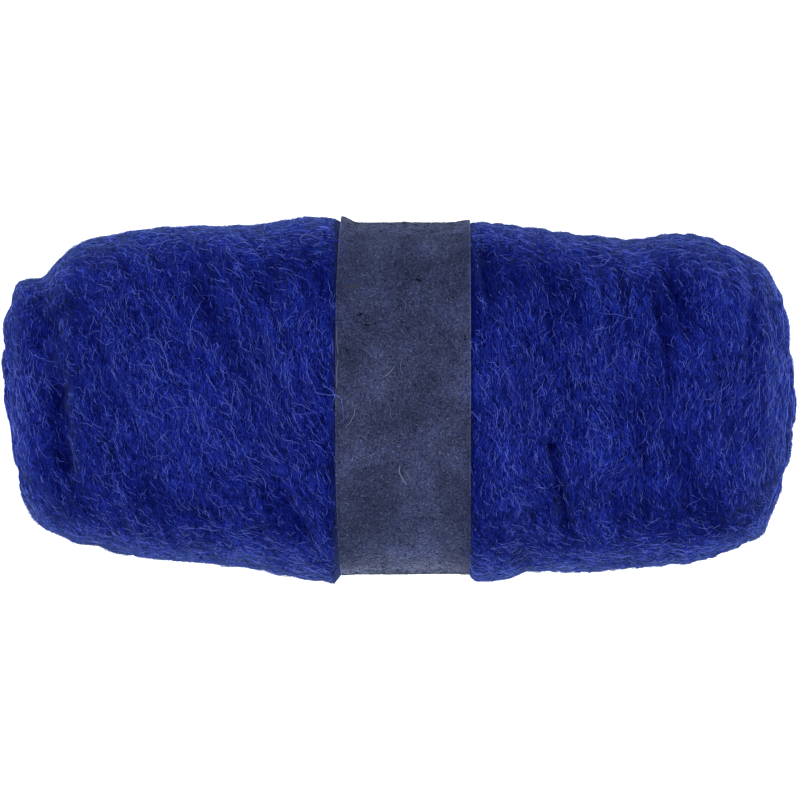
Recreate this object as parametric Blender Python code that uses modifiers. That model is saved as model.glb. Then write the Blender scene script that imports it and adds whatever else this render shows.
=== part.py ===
"""A roll of carded wool lying on its side, with a plain paper band round its middle.

Metres, +Z up. X runs along the roll's axis, +Y points to its far side, and the floor is at Z = 0 under the
middle of the roll. The wool is one soft solid, wound from a single batt, and the band is one strip of paper
with its end lapped over its start. Places round the roll are degrees about its axis: 0 is the far side, 90
the top, 180 the near side and 270 the bottom.
"""

import math

import bmesh
import bpy
import numpy as np

MM = 0.001

# The roll's sizes in millimetres
HEIGHT_TO_WIDTH = 0.9
SQUARENESS = 2.1
AXIS_HEIGHT = 49.0
GIRTH_RADIUS = 60.0
AROUND = 48

# The band's sizes in millimetres
BAND_LEFT = -23.3
BAND_RIGHT = 25.5
BAND_THICKNESS = 1.0
GAP = 0.3
BAND_BOW = 1.9
BAND_BOW_REACH = 14.0
BAND_FLARE = 0.9
BAND_FLARE_WIDTH = 7.0
BAND_FLARE_LEAST = 0.35
BAND_START_DEG = 318.0
BAND_LAP_DEG = 18.0
BAND_RAMP_DEG = 30.0
BAND_RAMP_END_DEG = 4.0
BAND_STEPS = 63
BAND_ACROSS = 6

# The wool's waist under the band
WAIST_FAR = 63.6
WAIST_NEAR = -62.3
WAIST_MIDDLE = 56.0
WAIST_MARGIN = 0.5
WAIST_FADE = 3.0

# One row for each section along the roll, in millimetres: its place, how far it reaches on the far and the
# near side, the height of its middle, how far it leans along the roll for each millimetre across it, and how
# many rings lead to the next row
SECTION_COLUMNS = ("x", "far", "near", "middle", "lean", "rings")
SECTIONS = (
    (-144.2, 2.0, 2.0, 50.0, 0.0, 4),
    (-143.5, 14.0, -10.0, 50.0, -0.1, 4),
    (-142.5, 25.5, -22.0, 49.5, -0.088, 3),
    (-140.2, 35.0, -32.0, 49.0, -0.05, 2),
    (-137.8, 41.3, -38.5, 48.5, -0.038, 2),
    (-134.1, 44.0, -42.8, 48.0, -0.016, 2),
    (-130.5, 45.4, -45.5, 47.5, 0.0, 3),
    (-123.8, 52.7, -49.4, 47.0, 0.0, 2),
    (-118.4, 57.1, -51.6, 47.0, 0.0, 2),
    (-108.0, 59.7, -54.0, 48.2, 0.0, 3),
    (-88.0, 62.4, -58.2, 51.0, 0.0, 4),
    (-64.0, 63.7, -60.4, 52.5, 0.0, 2),
    (-52.0, 64.0, -61.2, 53.2, 0.0, 1),
    (-44.0, 65.8, -63.6, 55.0, 0.0, 2),
    (-35.0, 67.0, -65.2, 56.5, 0.0, 2),
    (-25.6, 66.3, -66.5, 57.0, 0.0, 1),
    (BAND_LEFT - WAIST_MARGIN, WAIST_FAR, WAIST_NEAR, WAIST_MIDDLE, 0.0, 2),
    (-10.0, WAIST_FAR, WAIST_NEAR, WAIST_MIDDLE, 0.0, 2),
    (12.0, WAIST_FAR, WAIST_NEAR, WAIST_MIDDLE, 0.0, 2),
    (BAND_RIGHT + WAIST_MARGIN, WAIST_FAR, WAIST_NEAR, WAIST_MIDDLE, 0.0, 1),
    (27.8, 64.5, -65.5, 56.0, 0.0, 2),
    (37.0, 64.4, -65.5, 56.0, 0.0, 3),
    (47.6, 61.9, -63.3, 53.8, 0.0, 6),
    (62.0, 61.1, -62.8, 53.2, 0.0, 4),
    (83.0, 59.0, -61.5, 51.6, 0.0, 4),
    (98.0, 60.0, -60.0, 51.2, 0.0, 3),
    (110.0, 59.0, -58.3, 49.8, 0.0, 2),
    (118.0, 57.0, -55.9, 48.6, 0.0, 2),
    (126.0, 53.0, -52.3, 47.8, 0.0, 2),
    (132.5, 48.6, -47.0, 47.5, 0.0, 2),
    (137.0, 41.0, -37.8, 48.0, 0.0, 3),
    (140.8, 31.5, -25.5, 49.0, 0.0, 3),
    (143.1, 20.0, -17.0, 49.5, 0.0, 3),
    (144.4, 9.0, -9.5, 50.0, 0.0, 3),
    (144.9, -0.5, -0.5, 50.0, 0.0, 0),
)

# One row for each crease or hollow: the ends of its line as a place along the roll in millimetres and a
# place round it in degrees, then its half width and its depth. A swelling has a depth below nothing.
FOLD_COLUMNS = ("x_from", "deg_from", "x_to", "deg_to", "half_width", "depth")
FOLDS = (
    # The left end, where the inner turn comes out from under the outer one, and its lip
    (-130.0, 10, -127.5, 56, 5.0, 1.2),
    (-127.5, 56, -124.5, 88, 4.6, 1.6),
    (-124.5, 88, -121.5, 120, 4.4, 3.2),
    (-121.5, 120, -119.0, 142, 4.6, 1.4),
    (-133.5, 76, -131.5, 114, 5.0, -1.0),
    # Left of the band, on top
    (-73.0, 38, -69.0, 58, 8.0, 1.9),
    (-119.0, 48, -117.5, 63, 7.0, 1.5),
    (-112.0, 71, -110.0, 77, 5.0, 1.1),
    (-96.0, 60, -95.0, 67, 6.0, 1.1),
    (-46.0, 41, -45.0, 51, 7.0, 1.4),
    (-45.0, 127, -37.0, 137, 8.0, 2.0),
    (-93.0, 124, -80.0, 139, 7.0, 1.5),
    (-85.0, 92, -64.0, 106, 12.0, -1.2),
    # Right of the band, on top, with the deep crease first
    (45.8, 68, 51.6, 93, 2.6, 1.4),
    (51.6, 93, 56.0, 118, 2.8, 2.4),
    (56.0, 118, 60.0, 142, 3.2, 3.8),
    (91.0, 46, 96.5, 70, 4.2, 2.0),
    (96.5, 70, 98.0, 85, 3.4, 1.3),
    (85.0, 84, 88.0, 113, 3.2, 1.5),
    (104.0, 92, 107.5, 110, 3.2, 1.5),
    (127.0, 52, 126.0, 83, 3.4, 1.9),
    (31.0, 35, 32.0, 43, 6.0, 2.4),
    (55.0, 46, 56.0, 57, 9.0, 1.7),
    (104.0, 51, 104.0, 61, 10.0, 1.6),
    (110.0, 131, 112.0, 143, 9.0, 2.2),
    (38.0, 98, 42.0, 130, 7.0, -1.1),
    (70.0, 84, 74.0, 112, 9.0, -1.2),
    (115.0, 40, 115.0, 47, 7.0, -1.7),
    (122.0, 129, 122.0, 134, 6.0, -1.4),
    # The near side, low down
    (-101.0, 196, -94.0, 214, 5.0, 1.8),
    (-52.0, 218, -48.0, 241, 4.5, 1.7),
    (36.0, 216, 40.0, 238, 5.0, 2.0),
    (78.0, 218, 84.0, 240, 4.5, 1.7),
    (113.0, 192, 109.0, 222, 5.0, 1.9),
    # The far side
    (-107.0, 318, -101.0, 346, 5.0, 2.0),
    (-62.0, 306, -58.0, 340, 4.5, 1.8),
    (-30.0, 330, -31.0, 352, 5.5, 1.5),
    (48.0, 316, 52.0, 350, 5.0, 2.2),
    (92.0, 303, 97.0, 338, 4.5, 1.7),
    (118.0, 322, 115.0, 346, 5.0, 1.6),
)

# The batt's end, a soft step along the near side, and the turns that show at the ends
TAIL_DEG = 206.0
TAIL_STEP = 2.4
TAIL_RISE_DEG = 75.0
TAIL_DROP_DEG = 5.0
TAIL_REACH = 112.0
TAIL_FADE = 8.0
TAIL_BAND_START = 28.0
TAIL_BAND_END = 38.0
TURN_PITCH = 15.0
TURN_HALF_WIDTH = 3.4
TURN_DEPTH = 3.0
TURN_INNER_RADIUS = 2.0
TURN_OUTER_RADIUS = 45.0
TURN_FADE = 12.0
TURN_START_X = 126.0

# Colours from the photo, as linear light
WOOL_BLUE = (0.009, 0.016, 0.19, 1.0)
PAPER_SLATE = (0.042, 0.05, 0.112, 1.0)


def smooth_step(value):
    """0 below 0, 1 above 1, and an even S between them."""
    value = np.clip(value, 0.0, 1.0)
    return value * value * (3.0 - 2.0 * value)


def material(name, colour, roughness):
    made = bpy.data.materials.new(name)
    made.use_nodes = True
    shader = made.node_tree.nodes["Principled BSDF"]
    shader.inputs["Base Color"].default_value = colour
    shader.inputs["Roughness"].default_value = roughness
    shader.inputs["Metallic"].default_value = 0.0
    made.diffuse_color = colour
    return made


def section_rings():
    """The sections and the rings between them, on a Catmull-Rom curve through the table's rows."""
    table = np.array(SECTIONS)
    counts = SECTION_COLUMNS.index("rings")
    rows, rings = table[:, :counts], table[:, counts].astype(int)
    padded = np.vstack([2 * rows[0] - rows[1], rows, 2 * rows[-1] - rows[-2]])
    made = []
    for index in range(len(rows) - 1):
        before, start, end, after = padded[index : index + 4]
        for t in np.arange(rings[index]) / rings[index]:
            made.append(
                0.5
                * (
                    2 * start
                    + (end - before) * t
                    + (2 * before - 5 * start + 4 * end - after) * t**2
                    + (3 * start - before - 3 * end + after) * t**3
                )
            )
    made.append(rows[-1])
    return np.array(made)


def lowest_wool(x):
    """The wool's lowest height: nothing, but raised where the band passes under it."""
    inside = (x > BAND_LEFT - 2 * WAIST_MARGIN) & (x < BAND_RIGHT + 2 * WAIST_MARGIN)
    return np.where(inside, GAP + BAND_THICKNESS + GAP, 0.0)


def section_point(far, near, middle, degrees, out=0.0):
    """Y and Z of a point on a section's rounded, slightly squared outline, pushed out by a distance."""
    angle = np.radians(degrees)
    half = (far - near) / 2
    wide = half + out
    high = half * HEIGHT_TO_WIDTH + out
    wide, high = np.maximum(wide, 1e-6), np.maximum(high, 1e-6)
    across = np.abs(np.cos(angle)) / wide
    up = np.abs(np.sin(angle)) / high
    radius = (across**SQUARENESS + up**SQUARENESS) ** (-1.0 / SQUARENESS)
    return (far + near) / 2 + radius * np.cos(angle), middle + radius * np.sin(angle)


def bow(x, degrees):
    """How far the band's left edge, and the wool beside it, leans to the right at the roll's two sides."""
    nearness = smooth_step(1.0 - np.abs(x - BAND_LEFT) / BAND_BOW_REACH)
    return BAND_BOW * np.abs(np.cos(np.radians(degrees))) ** 4 * nearness


def fold_depth(x, degrees):
    """The depth of all creases and hollows at a place: each is a rounded trough along its own line."""
    total = np.zeros(np.broadcast(x, degrees).shape)
    for row in FOLDS:
        fold = dict(zip(FOLD_COLUMNS, row))
        per_degree = math.radians(GIRTH_RADIUS)
        run_x = fold["x_to"] - fold["x_from"]
        run_round = (fold["deg_to"] - fold["deg_from"]) * per_degree
        from_x = x - fold["x_from"]
        from_round = ((degrees - fold["deg_from"] + 180.0) % 360.0 - 180.0) * per_degree
        along = np.clip(
            (from_x * run_x + from_round * run_round) / (run_x**2 + run_round**2), 0, 1
        )
        away = np.hypot(from_x - along * run_x, from_round - along * run_round)
        total += fold["depth"] * np.exp(-((away / fold["half_width"]) ** 2))
    return total


def tail_height(x, degrees):
    """The step of the batt's end: it rises slowly round the roll and drops at once, clear of the band."""
    before = (TAIL_DEG - degrees + 180.0) % 360.0 - 180.0
    rise = smooth_step(1.0 - before / TAIL_RISE_DEG) * (before >= 0)
    drop = smooth_step(1.0 + before / TAIL_DROP_DEG) * (before < 0)
    ends = smooth_step((TAIL_REACH - np.abs(x)) / TAIL_FADE)
    band = smooth_step((np.abs(x) - TAIL_BAND_START) / (TAIL_BAND_END - TAIL_BAND_START))
    return TAIL_STEP * (rise + drop) * ends * band


def turn_depth(x, y, z):
    """The spiral hollow between the turns that show at each end of the roll."""
    up = (z - AXIS_HEIGHT) / HEIGHT_TO_WIDTH
    from_axis = np.hypot(y, up)
    turned = np.degrees(np.arctan2(up, y)) - TAIL_DEG
    place = from_axis / TURN_PITCH - turned / 360.0
    away = (place - np.round(place)) * TURN_PITCH
    inner = smooth_step((from_axis - TURN_INNER_RADIUS) / TURN_FADE)
    outer = smooth_step((TURN_OUTER_RADIUS - from_axis) / TURN_FADE)
    at_end = smooth_step((np.abs(x) - TURN_START_X) / TURN_FADE)
    return TURN_DEPTH * np.exp(-((away / TURN_HALF_WIDTH) ** 2)) * inner * outer * at_end


def roll_points():
    """The roll's points in millimetres, ring by ring from the left end to the right one."""
    sections = section_rings()
    section_x, far, near, middle, lean = (sections[:, [column]] for column in range(5))
    degrees = np.arange(AROUND) * 360.0 / AROUND
    x = np.repeat(section_x, AROUND, axis=1)
    x = x + bow(x, degrees)
    y, z = section_point(far, near, middle, degrees)
    x = x + lean * y
    points = np.stack([x, y, z], axis=-1)
    round_roll = np.roll(points, -1, axis=1) - np.roll(points, 1, axis=1)
    along_roll = np.gradient(points, axis=0)
    normals = np.cross(round_roll, along_roll)
    normals[0], normals[-1] = (-1.0, 0.0, 0.0), (1.0, 0.0, 0.0)
    normals /= np.linalg.norm(normals, axis=-1, keepdims=True)
    past_band = np.maximum(BAND_LEFT - x, x - BAND_RIGHT)
    free = smooth_step(past_band / WAIST_FADE)
    depth = (fold_depth(x, degrees) - tail_height(x, degrees)) * free
    points = points - normals * depth[..., None]
    points[..., 0] -= np.sign(x) * turn_depth(x, y, z)
    points[0] = points[0].mean(axis=0)
    points[-1] = points[-1].mean(axis=0)
    points[..., 2] = np.maximum(points[..., 2], lowest_wool(section_x))
    return points


def add_object(name, mesh, collection, finish):
    made = bpy.data.objects.new(name, mesh)
    collection.objects.link(made)
    mesh.materials.append(finish)
    mesh.shade_smooth()
    return made


def add_wool_roll(collection):
    """A sphere whose rings are drawn out along the roll: each point moves to its place on the roll."""
    points = roll_points() * MM
    rings = len(points) - 1
    work = bmesh.new()
    bmesh.ops.create_uvsphere(work, u_segments=AROUND, v_segments=rings, radius=1.0)
    for vertex in work.verts:
        down = math.acos(max(-1.0, min(1.0, vertex.co.z))) / math.pi
        turned = math.atan2(vertex.co.y, vertex.co.x) / (2 * math.pi)
        vertex.co = points[rings - round(down * rings), round(turned * AROUND) % AROUND]
    mesh = bpy.data.meshes.new("wool_roll")
    work.to_mesh(mesh)
    work.free()
    return add_object("wool_roll", mesh, collection, material("carded wool", WOOL_BLUE, 0.95))


def band_point(across, along):
    """A point of the band's inner face, from 0 to 1 across the strip and from 0 to 1 along it."""
    turned = along * (360.0 + BAND_LAP_DEG)
    degrees = BAND_START_DEG + turned
    x = BAND_LEFT + (BAND_RIGHT - BAND_LEFT) * across
    x = x + bow(x, degrees)
    lapped = smooth_step((turned - 360.0 + BAND_RAMP_DEG) / (BAND_RAMP_DEG - BAND_RAMP_END_DEG))
    from_edge = min(across, 1.0 - across) * (BAND_RIGHT - BAND_LEFT)
    flare = BAND_FLARE * (1.0 - smooth_step(from_edge / BAND_FLARE_WIDTH))
    far_side = max(0.0, math.cos(math.radians(degrees))) ** 2
    flare *= BAND_FLARE_LEAST + (1.0 - BAND_FLARE_LEAST) * far_side
    out = GAP + float(lapped) * (BAND_THICKNESS + GAP) + flare
    y, z = section_point(WAIST_FAR, WAIST_NEAR, WAIST_MIDDLE, degrees, out)
    return x, y, max(z, GAP + BAND_THICKNESS)


def add_paper_band(collection):
    """A flat strip of grid faces, wrapped round the waist, its end over its start, and thickened."""
    work = bmesh.new()
    bmesh.ops.create_grid(work, x_segments=BAND_ACROSS, y_segments=BAND_STEPS, size=0.5)
    for vertex in work.verts:
        place = band_point(vertex.co.x + 0.5, vertex.co.y + 0.5)
        vertex.co = [value * MM for value in place]
    mesh = bpy.data.meshes.new("paper_band")
    work.to_mesh(mesh)
    work.free()
    band = add_object("paper_band", mesh, collection, material("handmade paper", PAPER_SLATE, 0.9))
    wall = band.modifiers.new("Thickness", "SOLIDIFY")
    wall.thickness = BAND_THICKNESS * MM
    wall.offset = -1.0
    return band


for leftover in list(bpy.data.objects):
    bpy.data.objects.remove(leftover, do_unlink=True)
parts = bpy.data.collections.new("carded wool roll")
bpy.context.scene.collection.children.link(parts)
add_wool_roll(parts)
add_paper_band(parts)
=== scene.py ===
"""Dresses a roll of carded wool: the matted skin, its laid and stray fibres, and the paper band round it.

Sizes are in millimetres where a name or comment doesn't say otherwise, and places round the roll are degrees
about its axis: 0 is the far side, 90 the top, 180 the near side and 270 the bottom. X runs along the roll.
"""

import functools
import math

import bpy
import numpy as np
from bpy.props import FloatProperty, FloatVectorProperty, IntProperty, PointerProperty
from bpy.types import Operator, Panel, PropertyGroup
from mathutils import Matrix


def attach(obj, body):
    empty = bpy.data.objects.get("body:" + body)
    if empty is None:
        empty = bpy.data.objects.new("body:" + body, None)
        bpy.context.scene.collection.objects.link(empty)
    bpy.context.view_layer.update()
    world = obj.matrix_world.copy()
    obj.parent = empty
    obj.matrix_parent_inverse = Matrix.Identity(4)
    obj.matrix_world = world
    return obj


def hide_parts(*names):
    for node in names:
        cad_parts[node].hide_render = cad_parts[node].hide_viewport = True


bl_info = {
    "name": "Carded Wool Roll",
    "version": (1, 0, 0),
    "blender": (4, 5, 0),
    "location": "3D View > Sidebar > Wool Roll",
    "description": "Makes a rolled batt of carded wool and its band of handmade paper",
    "category": "Object",
}

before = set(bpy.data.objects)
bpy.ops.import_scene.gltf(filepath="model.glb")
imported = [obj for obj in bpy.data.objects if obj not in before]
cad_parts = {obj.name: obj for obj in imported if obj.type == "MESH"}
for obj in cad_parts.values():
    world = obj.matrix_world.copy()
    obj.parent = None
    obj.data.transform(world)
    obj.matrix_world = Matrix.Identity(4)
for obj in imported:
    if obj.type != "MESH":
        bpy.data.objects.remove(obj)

MM = 0.001
MAP_NAME = "OFBake"
# The name of the skin's attribute that holds its painted shade, as millimetres of depth
PAINTED_SHADE_ATTRIBUTE = "depth"

# The roll's form: that of the solids it stands for, less the depth of the fibres. The band lies between two
# places along the roll with a little space under it, and its left edge leans to the right at the roll's two
# sides. The waist is the form under it, and the wool right at its edges gets painted shade, a darker colour.
HEIGHT_TO_WIDTH = 0.9
SQUARENESS = 2.1
AXIS_HEIGHT = 49.0
GIRTH_RADIUS = 60.0
BAND_LEFT = -23.3
BAND_RIGHT = 25.5
BAND_SPACE = 1.6
BAND_BOW = 1.9
BAND_BOW_REACH = 14.0
WAIST_FAR = 63.6
WAIST_NEAR = -62.3
WAIST_MIDDLE = 56.0
WAIST_MARGIN = 1.0
WAIST_FADE = 3.0
# Painted shade: the wool's colour is darkened right at the band's edges, as millimetres of depth, over this
# width
BAND_SHADE = 3.0
BAND_SHADE_WIDTH = 1.6

# Painted shade, as millimetres of depth that make the wool's colour deeper: beside the band, which shades it,
# and on the shoulders between the top and the rims, where less light falls; and how much a streak's height
# counts, the low parts of streaks painted darker and the high ones painted lighter
BESIDE_BAND_SHADE = 0.7
BESIDE_BAND_SHADE_REACH = 8.0
SHOULDER_SHADE = 1.3
SHOULDER_DEG = 50.0
SHOULDER_WIDTH_DEG = 17.0
STREAK_SHADE = 2.6

# One row for each section along the roll: its place, how far it reaches on the far and the near side, the
# height of its middle, and how far it leans along the roll for each millimetre across it
SECTION_COLUMNS = ("x", "far", "near", "middle", "lean")
SECTIONS = (
    (-144.4, 2.0, 2.0, 50.0, 0.0),
    (-143.8, 15.0, -9.0, 50.0, -0.1),
    (-142.8, 27.0, -22.3, 49.5, -0.088),
    (-140.3, 37.4, -34.0, 49.0, -0.05),
    (-137.8, 42.8, -39.2, 48.5, -0.038),
    (-134.1, 44.7, -43.9, 48.0, -0.016),
    (-130.5, 45.4, -46.6, 47.5, 0.0),
    (-123.8, 52.4, -50.1, 47.0, 0.0),
    (-118.4, 56.8, -52.7, 47.0, 0.0),
    (-108.0, 60.4, -53.7, 48.2, 0.0),
    (-88.0, 63.1, -56.7, 51.0, 0.0),
    (-64.0, 64.0, -58.7, 52.5, 0.0),
    (-52.0, 64.0, -60.4, 53.2, 0.0),
    (-44.0, 65.5, -62.6, 55.0, 0.0),
    (-35.0, 66.6, -64.1, 56.5, 0.0),
    (-26.6, 66.3, -66.9, 57.0, 0.0),
    (-24.6, 65.7, -65.6, 56.8, 0.0),
    (-22.6, 64.3, -63.0, 56.2, 0.0),
    (-19.6, WAIST_FAR, WAIST_NEAR, WAIST_MIDDLE, 0.0),
    (-8.0, WAIST_FAR, WAIST_NEAR, WAIST_MIDDLE, 0.0),
    (10.0, WAIST_FAR, WAIST_NEAR, WAIST_MIDDLE, 0.0),
    (21.8, WAIST_FAR, WAIST_NEAR, WAIST_MIDDLE, 0.0),
    (24.8, 64.2, -63.0, 56.0, 0.0),
    (26.8, 64.7, -65.6, 56.0, 0.0),
    (29.0, 64.7, -66.2, 56.0, 0.0),
    (37.0, 64.2, -63.9, 56.0, 0.0),
    (47.6, 63.2, -61.4, 53.8, 0.0),
    (62.0, 60.8, -61.5, 53.2, 0.0),
    (83.0, 58.8, -60.0, 51.6, 0.0),
    (98.0, 60.9, -58.3, 51.2, 0.0),
    (110.0, 60.0, -58.3, 49.8, 0.0),
    (118.0, 57.4, -56.4, 48.6, 0.0),
    (126.0, 53.5, -53.0, 47.8, 0.0),
    (132.5, 49.0, -49.0, 47.5, 0.0),
    (137.3, 41.6, -40.0, 48.0, 0.0),
    (140.8, 35.6, -29.0, 49.0, 0.0),
    (143.4, 16.0, -18.5, 49.5, 0.0),
    (144.4, 5.0, -11.0, 50.0, 0.0),
    (144.9, -3.0, -3.0, 50.0, 0.0),
)

# One row for each crease or hollow: the ends of its line, its half width and its depth. A swelling has a
# depth below nothing.
FOLD_COLUMNS = ("x_from", "deg_from", "x_to", "deg_to", "half_width", "depth")
FOLDS = (
    # The left end, where the inner turn comes out from under the outer one, and its lip
    (-130.0, 10, -127.5, 56, 5.0, 1.2),
    (-127.5, 56, -124.5, 88, 4.6, 1.6),
    (-124.5, 88, -121.5, 120, 4.4, 3.2),
    (-121.5, 120, -119.0, 142, 4.6, 1.4),
    (-133.5, 76, -131.5, 114, 5.0, -1.0),
    # Left of the band, on top
    (-73.0, 38, -69.0, 60, 5.0, 2.0),
    (-119.0, 48, -117.5, 63, 7.0, 1.5),
    (-112.0, 71, -110.0, 77, 5.0, 1.1),
    (-96.0, 60, -95.0, 67, 6.0, 1.1),
    (-46.0, 41, -45.0, 51, 5.0, 1.4),
    (-45.0, 125, -37.0, 138, 6.0, 2.0),
    (-93.0, 124, -80.0, 139, 5.0, 1.3),
    (-85.0, 92, -64.0, 106, 12.0, -1.2),
    # Right of the band, on top, with the deep crease first
    (45.8, 68, 51.6, 93, 2.0, 0.9),
    (51.6, 93, 54.5, 108, 2.0, 1.6),
    (54.5, 108, 60.0, 140, 2.3, 3.4),
    (91.0, 44, 96.5, 70, 2.8, 2.2),
    (98.0, 42, 101.0, 62, 2.4, 1.6),
    (96.5, 70, 98.0, 85, 2.4, 1.2),
    (85.0, 84, 88.0, 113, 2.4, 1.5),
    (104.0, 92, 107.5, 110, 2.4, 1.3),
    (102.0, 112, 105.0, 136, 2.6, 1.6),
    (127.0, 50, 126.0, 83, 2.6, 1.7),
    (31.0, 33, 31.5, 50, 5.0, 2.6),
    (52.0, 42, 56.0, 66, 4.0, 1.8),
    (60.0, 47, 62.0, 60, 3.0, 1.0),
    (104.0, 51, 104.0, 61, 6.0, 1.2),
    (110.0, 129, 112.0, 143, 6.0, 2.2),
    (38.0, 98, 42.0, 130, 7.0, -1.1),
    (70.0, 84, 74.0, 112, 9.0, -1.2),
    (115.0, 40, 115.0, 47, 7.0, -1.7),
    (122.0, 129, 122.0, 134, 6.0, -1.4),
    # The near side, low down
    (-101.0, 196, -94.0, 214, 5.0, 1.8),
    (-52.0, 218, -48.0, 241, 4.5, 1.7),
    (36.0, 216, 40.0, 238, 5.0, 2.0),
    (78.0, 218, 84.0, 240, 4.5, 1.7),
    (113.0, 192, 109.0, 222, 5.0, 1.9),
    # The far side
    (-107.0, 318, -101.0, 346, 5.0, 2.0),
    (-62.0, 306, -58.0, 340, 4.5, 1.8),
    (-30.0, 330, -31.0, 352, 5.5, 1.5),
    (48.0, 316, 52.0, 350, 5.0, 2.2),
    (92.0, 303, 97.0, 338, 4.5, 1.7),
    (118.0, 322, 115.0, 346, 5.0, 1.6),
)

# The batt's end, a soft step along the near side that stops short of the ends and of the band, and the
# spiral of turns that shows at the roll's two ends
TAIL_DEG = 206.0
TAIL_STEP = 2.4
TAIL_RISE_DEG = 75.0
TAIL_DROP_DEG = 5.0
TAIL_REACH = 112.0
TAIL_FADE = 8.0
TAIL_BAND_START = 28.0
TAIL_BAND_END = 38.0
TURN_PITCH = 15.0
TURN_HALF_WIDTH = 3.4
TURN_DEPTH = 3.0
TURN_INNER_RADIUS = 2.0
TURN_OUTER_RADIUS = 41.0
TURN_FADE = 12.0
TURN_START_X = 126.0

# The skin's grid, the rows of it that fibres may lie on, the rows at each end that none starts on, and the
# shortest step that is told apart; then its finer relief: one row for each size of clump, and for each kind
# of streak that the fibres lie in
CURVE_SAMPLES = 40
SKIN_ROWS = 300
SKIN_COLUMNS = 160
ALL_ROWS = (2.0, SKIN_ROWS - 2.0)
POLE_ROWS = 3
LEAST_STEP = 0.3
SKIN_SINK = 0.45
CLUMP_COLUMNS = ("size", "height", "seed")
CLUMPS = ((12.0, 0.4, 11), (5.0, 0.2, 12), (2.8, 0.2, 13))
STREAK_COLUMNS = ("width", "length", "height", "seed")
STREAKS = ((1.7, 18.0, 0.42, 31), (3.6, 40.0, 0.38, 32))
STREAK_END_DEG = 150.0
STREAK_FADE_DEG = 20.0

# How the fibres lie, in degrees off the way round the roll: on the left half and the right, which change
# over this far either side of the middle; on the rims, which start so many degrees off the top; and at the
# ends, which start at this place along the roll. Clumps of fibres swing off all of these.
LEAN_LEFT = 24.0
LEAN_RIGHT = 8.0
LEAN_CHANGE = 40.0
LEAN_RIM = 62.0
LEAN_RIM_START_DEG = 38.0
LEAN_RIM_FADE_DEG = 30.0
LEAN_END = 4.0
LEAN_END_START = 118.0
LEAN_END_FADE = 12.0
LEAN_CLUMP_COLUMNS = ("size", "swing", "seed")
LEAN_CLUMPS = ((26.0, 27.0, 21), (9.0, 23.4, 22))

# How far in over the band a loose fibre may reach, and how far in under its edge a laid one may; then how
# high one that crosses the edge lies, over what length it climbs there, and its radius
EDGE_REACH = 4.5
EDGE_TUCK = 0.8
CROSSING_LIFT = 0.4
CROSSING_CLIMB = 1.5
CROSSING_RADIUS = 0.075

# The paper band: how thick it is and how far it lies out from the waist, its lap, which climbs over the
# strip's start by a ramp, its edges, which curl out, and the corner that has lifted; then its grid, its place
# on the map, and one row for each size of its soft waves: how long, how high, and a seed
PAPER_THICKNESS = 0.35
PAPER_OUT = 1.2
PAPER_LAP_STEP = 0.5
PAPER_START_DEG = 318.0
PAPER_LAP_DEG = 18.0
PAPER_RAMP_DEG = 30.0
PAPER_RAMP_END_DEG = 4.0
PAPER_FLARE = 0.9
PAPER_FLARE_WIDTH = 7.0
PAPER_FLARE_LEAST = 0.35
PAPER_CORNER_LIFT = 1.5
PAPER_CORNER_WIDTH = 7.0
PAPER_EDGE_V = 0.01
PAPER_ROWS = 320
PAPER_COLUMNS = 30
PAPER_CLEARANCE = 0.05
PAPER_MAP_MARGIN = 0.02
PAPER_WAVES = ((16.0, 0.22, 41), (5.0, 0.07, 42))

# The paper's finish: the size of its map in millimetres, its mottled ground and its grain, the thin fibres
# drawn in it, how pale and how wide its cut edges are, as parts of the map's height, and its bump: how
# strong it is, and how high in metres
PAPER_ROUGHNESS = 0.6
PAPER_SPECULAR = 0.01
PAPER_MAP_SIZE = (408.0, 98.4, 1.0)
PAPER_MOTTLE_SCALE = 0.05
PAPER_GROUND = ((0.36, 0.7), (0.5, 1.0), (0.64, 1.45))
PAPER_GRAIN_SCALE = 1.5
PAPER_GRAIN = ((0.35, (0.3, 0.33, 0.52)), (0.5, (0.85, 0.85, 0.88)), (0.65, (2.2, 2.1, 1.5)))
PAPER_LINE_COLUMNS = ("scale", "twist", "strength")
PAPER_LINES = ((0.35, 3.0, 1.8), (0.6, 2.2, 1.6), (0.95, 1.8, 1.8), (1.4, 1.5, 1.7))
PAPER_LINE_WIDTH = 0.03
PAPER_CUT_SHADE = 2.4
PAPER_CUT_WIDTH = 0.006
PAPER_INNER_CUT_WIDTH = 0.001
PAPER_BUMP = (0.5, 0.0002)

# Painted light and shade along the strip's length, from its start on the far side over the top and the near
# side:
# lighter on top, where it is also rubbed, darker on the slopes either side, lighter at the far rim and much
# lighter at the near one, painted highlights
PAPER_WEAR_AND_LIGHT = (
    (0.1, (1.2, 1.2, 1.2)),
    (0.25, (0.70, 0.70, 0.74)),
    (0.355, (1.12, 1.12, 1.12)),
    (0.47, (0.78, 0.78, 0.80)),
    (0.51, (1.1, 1.1, 1.1)),
    (0.545, (2.35, 2.15, 1.72)),
    (0.66, (1.0, 1.0, 1.0)),
)

# One row for each kind of fibre that lies in the paper: its share, the points of each path, the shortest and
# longest, the thickness, the curl in degrees for each step, and the chance of each tone
PAPER_LAYER_COLUMNS = ("share", "steps", "shortest", "longest", "thickness", "curl", "tones")
PAPER_LAYERS = (
    (0.97, 3, 0.8, 3.4, 0.24, 28.0, (0.36, 0.30, 0.08, 0.0, 0.0, 0.01, 0.25)),
    (0.02, 4, 0.6, 1.6, 0.30, 10.0, (0.0, 0.0, 0.0, 1.0, 0.0, 0.0, 0.0)),
    (0.01, 10, 6.0, 12.0, 0.22, 10.0, (0.60, 0.36, 0.02, 0.0, 0.0, 0.02, 0.0)),
)

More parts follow.
